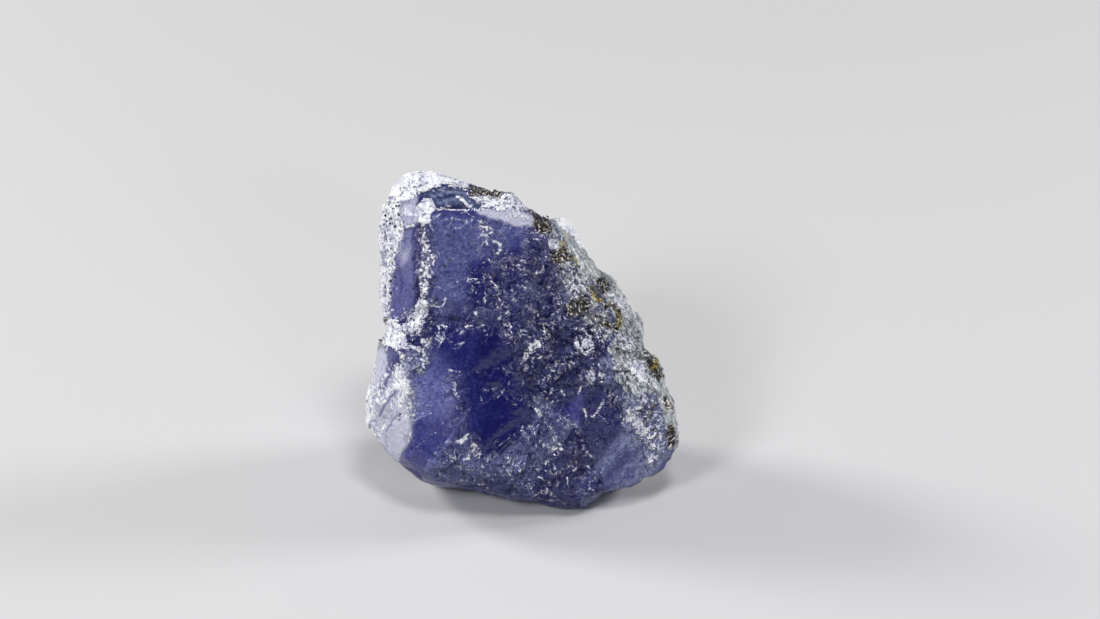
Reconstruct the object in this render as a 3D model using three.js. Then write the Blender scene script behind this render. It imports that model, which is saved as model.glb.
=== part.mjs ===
// A rough tanzanite: one broken, naturally etched crystal of violet-blue zoisite that stands on a
// small flat spot. Lengths are millimetres, +Z is up, and the origin lies on the ground under the
// middle of the stone. The stone is star-shaped about its centre, so it is an icosphere whose points
// are pushed out along their own rays until they meet the stone's surface.
import * as THREE from "three";
import { mergeVertices } from "three/addons/utils/BufferGeometryUtils.js";
import { ImprovedNoise } from "three/addons/math/ImprovedNoise.js";

// ---- driving dimensions -------------------------------------------------------------------------

const FACE_LEAN_DEG = 30; // how far the broad front face leans back from upright
const CENTRE_HEIGHT = 9.3; // from the ground to the stone's centre
const HALF_THICKNESS = 8.2; // from the rim to the bulge of either side, before the faces are cut
const SIDE_FULLNESS = 2.3; // 2 makes the sides an ellipse in section, and more makes them squarer
const EDGE_SHARPNESS = 36; // how tightly neighbouring faces meet: a larger number is a crisper edge
const SPHERE_DETAIL = 17; // gives 20 * (detail + 1)^2 triangles

// The rim, seen square to the broad face: [across, up the face] from the centre. It is a closed curve.
const RIM = [
  [-6.6, 12.5], [-8.1, 12.2], [-8.7, 11.7], [-9.4, 9.7], [-9.8, 7.4], [-9.8, 4.8],
  [-9.5, 3.1], [-9.5, 1.6], [-10.0, 0.2], [-10.9, -3.8], [-10.4, -5.9], [-8.7, -7.6],
  [-6.1, -9.1], [-2.9, -9.6], [1.4, -10.6], [4.2, -11.1], [5.8, -10.0], [7.5, -9.5],
  [9.6, -8.6], [11.0, -7.2], [11.1, -5.4], [9.8, -1.1], [8.3, 2.4], [7.1, 4.3],
  [5.2, 6.4], [3.9, 8.5], [3.0, 9.2], [1.9, 9.3], [-0.3, 10.7], [-2.9, 11.6],
  [-5.2, 12.2],
];

// The flat faces that the breaks and cleavages left. Each is square to a direction that is turned to
// the right of the broad face's own and tipped up from it, at a distance from the centre.
const FACES = {
  mainFace: { turn: 3, tip: 5, distance: 6.0 },
  lowerFace: { turn: -2, tip: -7, distance: 5.5 },
  leftFlank: { turn: -46, tip: 5, distance: 9.1 },
  lowerLeftFlank: { turn: -44, tip: -12, distance: 9.4 },
  crown: { turn: -20, tip: 45, distance: 11.4 },
  topWindow: { turn: 8, tip: 50, distance: 10.6 },
  rightFace: { turn: 28, tip: 12, distance: 6.4 },
  rightRim: { turn: 60, tip: 30, distance: 7.6 },
  lowerRightFace: { turn: 16, tip: -18, distance: 6.6 },
  rightFoot: { turn: 40, tip: -25, distance: 10.0 },
  belly: { turn: -6, tip: -48, distance: 9.1 },
  back: { turn: 180, tip: 28, distance: 5.6 },
  backLeft: { turn: -130, tip: 12, distance: 8.3 },
  backRight: { turn: 132, tip: 14, distance: 7.8 },
  backFoot: { turn: 175, tip: -5, distance: 7.8 },
  undersideLeft: { turn: -120, tip: -35, distance: 10.5 },
  undersideRight: { turn: 110, tip: -40, distance: 12.0 },
};

// Shallow shell-shaped breaks: the direction from the centre, the half angle they cover and the depth.
const SCOOPS = {
  leftFlank: { turn: -52, tip: 12, spread: 13, depth: 0.45 },
  underTheCrown: { turn: -12, tip: 50, spread: 12, depth: 0.5 },
  topRight: { turn: 24, tip: 38, spread: 11, depth: 0.4 },
  rightFace: { turn: 30, tip: 4, spread: 13, depth: 0.5 },
  mainFace: { turn: -6, tip: 18, spread: 17, depth: 0.3 },
  belly: { turn: -20, tip: -26, spread: 16, depth: 0.35 },
  rightFoot: { turn: 34, tip: -32, spread: 13, depth: 0.45 },
  rightRim: { turn: 66, tip: 6, spread: 12, depth: 0.4 },
  lowerLeft: { turn: -60, tip: -22, spread: 12, depth: 0.4 },
  backTop: { turn: 150, tip: 34, spread: 18, depth: 0.7 },
  backLeft: { turn: -150, tip: 4, spread: 20, depth: 0.8 },
  backMiddle: { turn: 172, tip: 2, spread: 14, depth: 0.6 },
  rightSide: { turn: 120, tip: -12, spread: 16, depth: 0.6 },
  leftShoulder: { turn: -110, tip: 38, spread: 15, depth: 0.5 },
};

// Natural unevenness, from broad swells to small bumps: the size of the swells and their height.
const SWELLS = [
  { size: 6.0, height: 0.42 },
  { size: 2.7, height: 0.26 },
  { size: 1.3, height: 0.15 },
];

const STONE_COLOUR = 0x3a3f92;
const STONE_ROUGHNESS = 0.45;
const STONE_METALNESS = 0;

// ---- the frame of the leaning face --------------------------------------------------------------

const lean = THREE.MathUtils.degToRad(FACE_LEAN_DEG);
const ACROSS = new THREE.Vector3(1, 0, 0);
const UP_THE_FACE = new THREE.Vector3(0, Math.sin(lean), Math.cos(lean));
const OUT_OF_FACE = new THREE.Vector3(0, -Math.cos(lean), Math.sin(lean));

// A direction turned to the right of the broad face's own and tipped up from it, in degrees.
function directionOf({ turn, tip }) {
  const right = THREE.MathUtils.degToRad(turn);
  const rise = THREE.MathUtils.degToRad(tip);
  return new THREE.Vector3()
    .addScaledVector(ACROSS, Math.sin(right) * Math.cos(rise))
    .addScaledVector(UP_THE_FACE, Math.sin(rise))
    .addScaledVector(OUT_OF_FACE, Math.cos(right) * Math.cos(rise));
}

// ---- the surface along a ray from the centre ----------------------------------------------------

const RIM_STEPS = 360; // straight pieces that stand for the rim's curve
const rimCurve = new THREE.SplineCurve([...RIM, RIM[0]].map(([x, y]) => new THREE.Vector2(x, y)));
const rimPoints = rimCurve.getSpacedPoints(RIM_STEPS);

// How far the rim lies from the centre towards a point of the face plane.
function rimRadius(across, up) {
  const reach = Math.hypot(across, up) || 1;
  const [x, y] = [across / reach, up / reach];
  for (let i = 0; i < RIM_STEPS; i++) {
    const [a, b] = [rimPoints[i], rimPoints[i + 1]];
    const sideA = x * a.y - y * a.x;
    const sideB = x * b.y - y * b.x;
    if (sideA * sideB > 0 || x * a.x + y * a.y < 0) continue;
    const share = sideA / (sideA - sideB || 1);
    return Math.hypot(a.x + (b.x - a.x) * share, a.y + (b.y - a.y) * share);
  }
  return rimPoints[0].length();
}

// The bulging body inside the rim, before any face is cut.
function bodyDistance(ray) {
  const across = ray.dot(ACROSS);
  const up = ray.dot(UP_THE_FACE);
  const flat = Math.hypot(across, up) / rimRadius(across, up);
  const deep = Math.abs(ray.dot(OUT_OF_FACE)) / HALF_THICKNESS;
  return (flat ** SIDE_FULLNESS + deep ** SIDE_FULLNESS) ** (-1 / SIDE_FULLNESS);
}

const faces = Object.values(FACES).map((face) => ({
  normal: directionOf(face),
  distance: face.distance,
}));

// The body with its faces cut, their edges slightly rounded.
function cutDistance(ray) {
  const closeness = [1 / bodyDistance(ray)];
  for (const { normal, distance } of faces) {
    closeness.push(Math.max(normal.dot(ray), 0) / distance);
  }
  const nearest = Math.max(...closeness);
  const blended = closeness.reduce((sum, c) => sum + (c / nearest) ** EDGE_SHARPNESS, 0);
  return 1 / (nearest * blended ** (1 / EDGE_SHARPNESS));
}

const scoops = Object.values(SCOOPS).map((scoop) => ({
  direction: directionOf(scoop),
  spread: THREE.MathUtils.degToRad(scoop.spread),
  depth: scoop.depth,
}));

// How much the shell-shaped breaks take off along a ray. Each has a crisp lip and a round floor.
function scoopDepth(ray) {
  let taken = 0;
  for (const { direction, spread, depth } of scoops) {
    const share = ray.angleTo(direction) / spread;
    if (share < 1) taken = Math.max(taken, depth * (1 - share * share));
  }
  return taken;
}

const noise = new ImprovedNoise();

// The swells and bumps at a point of the surface. Each size is read at its own place in the noise.
function unevenness(point) {
  return SWELLS.reduce((sum, { size, height }) => {
    const [x, y, z] = [point.x / size, point.y / size, point.z / size];
    return sum + height * noise.noise(x + size, y - size, z);
  }, 0);
}

// ---- the stone ----------------------------------------------------------------------------------

// Where the ray meets the finished surface. The flat spot is cut last, so that it stays flat.
function surfacePoint(ray) {
  const smooth = cutDistance(ray);
  const relief = unevenness(ray.clone().multiplyScalar(smooth)) - scoopDepth(ray);
  const groundDistance = ray.z < 0 ? CENTRE_HEIGHT / -ray.z : Infinity;
  const point = ray.clone().multiplyScalar(Math.min(smooth + relief, groundDistance));
  return point.setZ(Math.max(point.z + CENTRE_HEIGHT, 0));
}

function stoneGeometry() {
  const sphere = new THREE.IcosahedronGeometry(1, SPHERE_DETAIL);
  sphere.deleteAttribute("normal");
  sphere.deleteAttribute("uv");
  const geometry = mergeVertices(sphere);
  const places = geometry.getAttribute("position");
  const ray = new THREE.Vector3();
  for (let i = 0; i < places.count; i++) {
    ray.fromBufferAttribute(places, i).normalize();
    const point = surfacePoint(ray);
    places.setXYZ(i, point.x, point.y, point.z);
  }
  geometry.computeBoundingBox();
  const middle = geometry.boundingBox.getCenter(new THREE.Vector3());
  geometry.translate(-middle.x, -middle.y, 0);
  geometry.computeVertexNormals();
  return geometry;
}

const stone = new THREE.Mesh(
  stoneGeometry(),
  new THREE.MeshStandardMaterial({
    color: STONE_COLOUR,
    roughness: STONE_ROUGHNESS,
    metalness: STONE_METALNESS,
  }),
);
stone.name = "tanzanite";

const part = new THREE.Group();
part.add(stone);
export default part;
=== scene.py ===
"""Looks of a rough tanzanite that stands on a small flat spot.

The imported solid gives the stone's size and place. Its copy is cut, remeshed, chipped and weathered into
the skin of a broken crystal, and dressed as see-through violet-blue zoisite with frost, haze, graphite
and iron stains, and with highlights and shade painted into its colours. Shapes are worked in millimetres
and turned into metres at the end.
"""
from __future__ import annotations

import logging
import math
from dataclasses import dataclass
from enum import Enum
from typing import Any, Sequence

import bpy
import numpy as np
from mathutils import Matrix, Vector, noise
from mathutils.kdtree import KDTree


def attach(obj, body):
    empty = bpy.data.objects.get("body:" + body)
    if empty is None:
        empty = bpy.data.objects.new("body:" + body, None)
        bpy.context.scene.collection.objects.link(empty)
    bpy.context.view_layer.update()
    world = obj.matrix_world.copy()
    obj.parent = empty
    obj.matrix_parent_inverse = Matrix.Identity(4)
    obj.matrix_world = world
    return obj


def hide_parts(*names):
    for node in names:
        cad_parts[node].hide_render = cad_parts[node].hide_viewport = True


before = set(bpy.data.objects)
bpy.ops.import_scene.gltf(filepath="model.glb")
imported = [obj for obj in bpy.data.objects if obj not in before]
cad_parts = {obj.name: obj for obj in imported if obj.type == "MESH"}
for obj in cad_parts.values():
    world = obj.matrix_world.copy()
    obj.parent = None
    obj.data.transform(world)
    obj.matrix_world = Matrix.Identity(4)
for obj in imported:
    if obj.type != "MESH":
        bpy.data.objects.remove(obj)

LOG = logging.getLogger("tanzanite")
MM = 0.001
NODE = "tanzanite"
PIECE = "tanzanite_stone"
BROKEN = "broken"
CRUSTED = "crusted"
BACK = "behind"
CHANNELS = ("red", "green", "blue")

Triple = tuple[float, float, float]
Pair = tuple[float, float]


# ---- the stone's own frame ------------------------------------------------------------------------


@dataclass(frozen=True)
class FaceFrame:
    """The frame of the leaning broad face: across it, up it and out of it, from the stone's centre."""

    lean_deg: float = 30.0
    centre: Triple = (-0.17, 0.88, 9.3)
    sides: Pair = (-1.5, 1.0)
    side_wave: float = 1.3

    def axes(self) -> np.ndarray:
        """Rows: the directions across, up and out of the face."""
        lean = math.radians(self.lean_deg)
        sine, cosine = math.sin(lean), math.cos(lean)
        return np.array([(1.0, 0.0, 0.0), (0.0, sine, cosine), (0.0, -cosine, sine)])

    def ragged(self, points: np.ndarray) -> np.ndarray:
        """The same as local, with waves, so that what follows straight lines doesn't look ruled.

        Args:
            points: One point a row, in millimetres.

        Returns:
            Across, up and out, one point a row. The waves are larger on the sides than on the face.
        """
        local = self.local(points)
        aside = self.side_wave * (1.0 - smoothstep(*self.sides, local[:, 2]))
        for axis in range(2):
            for height, size, seed in ((0.16, 1.1, 40.0), (0.09, 0.35, 50.0), (aside, 1.7, 60.0)):
                local[:, axis] += height * swell(points, size, seed + axis)
        local[:, 2] += 1.6 * aside * swell(points, 1.4, 70.0)
        return local

    def local(self, points: np.ndarray) -> np.ndarray:
        """Turns points of the part's frame, one a row, into across, up and out of the face."""
        return (points - np.array(self.centre)) @ self.axes().T

    def direction(self, turn_deg: float, tip_deg: float) -> np.ndarray:
        """A unit direction turned to the right of the face's own and tipped up from it."""
        turn, tip = math.radians(turn_deg), math.radians(tip_deg)
        parts = (math.sin(turn) * math.cos(tip), math.sin(tip), math.cos(turn) * math.cos(tip))
        return np.array(parts) @ self.axes()


FACE = FaceFrame()
# Patches are laid out on a plane a little behind the face, so they are drawn in about its middle.
FACE_MIDDLE: Pair = (2.2, 2.9)
FACE_SPREAD = 1.018


def smoothstep(low: float, high: float, value: np.ndarray) -> np.ndarray:
    """Rises softly from 0 at low to 1 at high."""
    share = np.clip((value - low) / (high - low), 0.0, 1.0)
    return share * share * (3.0 - 2.0 * share)


def in_front(local: np.ndarray) -> np.ndarray:
    """Rises from 0 behind the rim to 1 on the broad face."""
    return smoothstep(-1.0, 1.0, local[:, 2])


def behind(local: np.ndarray) -> np.ndarray:
    """Rises from 0 on the broad face to 1 on the back."""
    return 1.0 - smoothstep(-2.5, 0.5, local[:, 2])


def gap_to(spots: np.ndarray, start: np.ndarray, end: np.ndarray) -> np.ndarray:
    """How far each spot lies from a straight line between two points.

    Args:
        spots: One flat point a row.
        start: The line's first point.
        end: Its last point.

    Returns:
        One distance a spot.
    """
    line = end - start
    offset = spots - start
    share = np.clip(offset @ line / (line @ line), 0.0, 1.0)
    return np.hypot(*(offset - share[:, None] * line).T)


# ---- meshes as arrays -----------------------------------------------------------------------------


@dataclass
class Skin:
    """Reads and moves the points of one mesh object, in whatever unit its mesh is in."""

    piece: bpy.types.Object

    @staticmethod
    def rows(elements: Any, name: str) -> np.ndarray:
        """Three numbers of each of a mesh's elements, one element a row."""
        flat = np.empty(len(elements) * 3, np.float32)
        elements.foreach_get(name, flat)
        return flat.reshape(-1, 3).astype(float)

    def points(self) -> np.ndarray:
        """The mesh's points, one a row."""
        return self.rows(self.piece.data.vertices, "co")

    def normals(self) -> np.ndarray:
        """The mesh's point normals, one a row."""
        return self.rows(self.piece.data.vertex_normals, "vector")

    def broad_normals(self) -> np.ndarray:
        """Point normals averaged over a wide neighbourhood, each one unit long."""
        normals = self.blur(self.normals(), 8)
        return normals / np.linalg.norm(normals, axis=1)[:, None]

    def edges(self) -> np.ndarray:
        """The two points of each edge."""
        flat = np.empty(len(self.piece.data.edges) * 2, np.int32)
        self.piece.data.edges.foreach_get("vertices", flat)
        return flat.reshape(-1, 2)

    def move_to(self, points: np.ndarray) -> None:
        """Puts the mesh's points at new places."""
        self.piece.data.vertices.foreach_set("co", points.astype(np.float32).ravel())
        self.piece.data.update()

    def blur(self, values: np.ndarray, rounds: int) -> np.ndarray:
        """Averages a value, or rows of values, over each point's neighbours.

        Args:
            values: One value or row a point.
            rounds: How many times to average.

        Returns:
            The blurred values.
        """
        first, second = self.edges().T
        count = np.bincount(np.concatenate((first, second)), minlength=len(values)).astype(float)
        rows = values.reshape(len(values), -1)
        for _ in range(rounds):
            total = rows.copy()
            for column in range(rows.shape[1]):
                total[:, column] += np.bincount(first, rows[second, column], len(rows))
                total[:, column] += np.bincount(second, rows[first, column], len(rows))
            rows = total / (count[:, None] + 1.0)
        return rows.reshape(values.shape)

    def store(self, name: str, values: np.ndarray) -> None:
        """Keeps one number a point as a named attribute that the finish reads."""
        attribute = self.piece.data.attributes.new(name, "FLOAT", "POINT")
        attribute.data.foreach_set("value", values.astype(np.float32))


class Bins:
    """Finds points near a place quickly, by sorting them into cubes."""

    def __init__(self, points: np.ndarray, side: float = 0.6) -> None:
        """Sorts the points into cubes of one side."""
        self.side = side
        self.low = points.min(axis=0)
        self.counts = ((points.max(axis=0) - self.low) / side).astype(int) + 1
        keys = self._key(((points - self.low) / side).astype(int))
        self.order = np.argsort(keys, kind="stable")
        self.starts = np.searchsorted(keys[self.order], np.arange(int(np.prod(self.counts)) + 1))

    def _key(self, cubes: np.ndarray) -> np.ndarray:
        """One number for each cube."""
        return (cubes[..., 0] * self.counts[1] + cubes[..., 1]) * self.counts[2] + cubes[..., 2]

    def near(self, place: np.ndarray, reach: float) -> np.ndarray:
        """The points in the cubes around a place.

        Args:
            place: The middle.
            reach: How far out the cubes go.

        Returns:
            The points' numbers.
        """
        low = np.maximum(((place - reach - self.low) / self.side).astype(int), 0)
        high = np.minimum(((place + reach - self.low) / self.side).astype(int), self.counts - 1)
        grid = np.stack(np.meshgrid(*map(np.arange, low, high + 1), indexing="ij"), axis=-1)
        keys = self._key(grid.reshape(-1, 3))
        return np.concatenate([self.order[self.starts[k] : self.starts[k + 1]] for k in keys])


def modify(piece: bpy.types.Object, name: str, kind: str, **settings: Any) -> None:
    """Applies one modifier to the active piece.

    Args:
        piece: The active object.
        name: The modifier's name.
        kind: Its type.
        settings: Its properties.
    """
    modifier = piece.modifiers.new(name, kind)
    for setting, value in settings.items():
        setattr(modifier, setting, value)
    bpy.ops.object.modifier_apply(modifier=modifier.name)


def wash(rows: np.ndarray, colour: Sequence[float], cover: np.ndarray) -> None:
    """Lays a colour over rows of colours, as strongly as it covers each."""
    rows += (np.asarray(colour) - rows) * cover[:, None]


def swell(points: np.ndarray, size: float, seed: float) -> np.ndarray:
    """Natural noise from about -1 to 1 at each point. Each seed is another place in the noise."""
    shifted = points / size + seed
    return np.array([noise.noise(Vector(row)) for row in shifted])


# ---- where each tint and each crust lies on the broad face ----------------------------------------


@dataclass(frozen=True)
class Coat:
    """A colour of the crystal's skin, how clear it is and how grainy."""

    colour: Triple
    clear: float
    grainy: float = 0.5


class Tint(Enum):
    """The colours of the crystal itself."""

    CORE = Coat((0.005, 0.006, 0.128), 0.55, 0.44)
    BLUE = Coat((0.015, 0.018, 0.172), 0.48, 0.58)
    UPPER = Coat((0.098, 0.107, 0.284), 0.30, 0.64)
    VIOLET = Coat((0.082, 0.082, 0.325), 0.38, 0.5)
    PANEL = Coat((0.120, 0.118, 0.304), 0.30, 0.45)
    PALE = Coat((0.530, 0.530, 0.650), 0.12, 0.3)
    STEEL = Coat((0.068, 0.102, 0.205), 0.35, 0.75)
    NAVY = Coat((0.010, 0.015, 0.070), 0.45, 0.3)
    NIGHT = Coat((0.009, 0.012, 0.090), 0.40, 0.8)
    GRANITE = Coat((0.088, 0.099, 0.246), 0.30, 0.9)
    DUSK = Coat((0.016, 0.018, 0.122), 0.42, 0.5)
    MAUVE = Coat((0.128, 0.138, 0.312), 0.28, 0.8)
    LILAC = Coat((0.195, 0.205, 0.500), 0.25, 0.75)
    SLATE = Coat((0.090, 0.098, 0.150), 0.20, 0.9)
    ASH = Coat((0.400, 0.405, 0.530), 0.15, 0.4)
    HAZE = Coat((0.216, 0.236, 0.384), 0.22, 0.9)

    def row(self) -> tuple[float, ...]:
        """The tint's colour, clearness and graininess in one row."""
        return (*self.value.colour, self.value.clear, self.value.grainy)


class Crust(Enum):
    """What covers the crystal in places."""

    FROST = "frost"
    SEAM = "seam"
    RIND = "rind"
    SOOT = "soot"
    RUST = "rust"
    SPECKS = "specks"
    GLITTER = "glitter"


# How far behind the broad face a patch fades out, unless it says otherwise.
WRAP = 2.5
# How broken the skin is under each crust.
BROKENNESS = {Crust.GLITTER: 1.0, Crust.RIND: 0.5, Crust.SOOT: 1.0, Crust.FROST: 0.15}


@dataclass(frozen=True)
class Patch:
    """A place on the broad face: its finish, the softness of its border and how far its skin stands out.

    The strength is its cover where it is whole, and the wrap is how far behind the face it may reach.
    """

    finish: Tint | Crust
    corners: tuple[Pair, ...]
    border: float
    strength: float = 1.0
    relief: float = 0.0
    wrap: float = WRAP

    def cover(self, local: np.ndarray) -> np.ndarray:
        """How strongly the patch covers each point, from 0 outside to its strength inside.

        Args:
            local: Points in the face's frame.

        Returns:
            One value a point.
        """
        flat = (local[:, :2] - np.array(FACE_MIDDLE)) * FACE_SPREAD + np.array(FACE_MIDDLE)
        corners = np.array(self.corners, float)
        low, high = corners.min(axis=0) - self.margin(), corners.max(axis=0) + self.margin()
        within = (flat > low).all(axis=1) & (flat < high).all(axis=1) & (local[:, 2] > -self.wrap)
        chosen = np.flatnonzero(within)
        front = smoothstep(-self.wrap, WRAP - self.wrap, local[chosen, 2])
        result = np.zeros(len(local))
        result[chosen] = self.strength * self.spread(flat[chosen], corners) * front
        return result

    def margin(self) -> float:
        """How far past its corners the patch may reach."""
        return self.border

    def spread(self, spots: np.ndarray, corners: np.ndarray) -> np.ndarray:
        """How much of the patch's strength each flat spot gets, which its kind of patch says."""
        raise NotImplementedError


class Zone(Patch):
    """A patch with straight sides."""

    def spread(self, spots: np.ndarray, corners: np.ndarray) -> np.ndarray:
        """Fades across each side, from the border outside to the border inside.

        Args:
            spots: Flat points near the zone, one a row.
            corners: The zone's corners, one a row.

        Returns:
            One share a spot.
        """
        gap = np.full(len(spots), np.inf)
        inside = np.zeros(len(spots), bool)
        for start, end in zip(corners, np.roll(corners, -1, axis=0)):
            gap = np.minimum(gap, gap_to(spots, start, end))
            straddles = (start[1] > spots[:, 1]) != (end[1] > spots[:, 1])
            run, rise = end - start
            crossing = start[0] + (spots[:, 1] - start[1]) * run / (rise or 1.0)
            inside ^= straddles & (spots[:, 0] < crossing)
        return smoothstep(-self.border, self.border, np.where(inside, gap, -gap))


class Streak(Patch):
    """A narrow patch along a bent line. Its border is half its width."""

    def margin(self) -> float:
        """How far from its line the streak may reach."""
        return 2.0 * self.border

    def spread(self, spots: np.ndarray, corners: np.ndarray) -> np.ndarray:
        """Fades away from the line.

        Args:
            spots: Flat points near the streak, one a row.
            corners: The line's points, one a row.

        Returns:
            One share a spot.
        """
        gap = np.full(len(spots), np.inf)
        for start, end in zip(corners[:-1], corners[1:]):
            gap = np.minimum(gap, gap_to(spots, start, end))
        return 1.0 - smoothstep(0.5 * self.border, 1.5 * self.border, gap)


# The outline that the pale left edge and its frost share.
LEFT_EDGE = (
    (-9.4, 11.4), (-8.3, 10.8), (-8.2, 8.7), (-8.4, 7.4), (-8.8, 6.6), (-9, 5.4), (-9.2, 3.4), (-9.2, 2.2),
    (-10.6, 2.6), (-10.8, 8),
)
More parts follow.
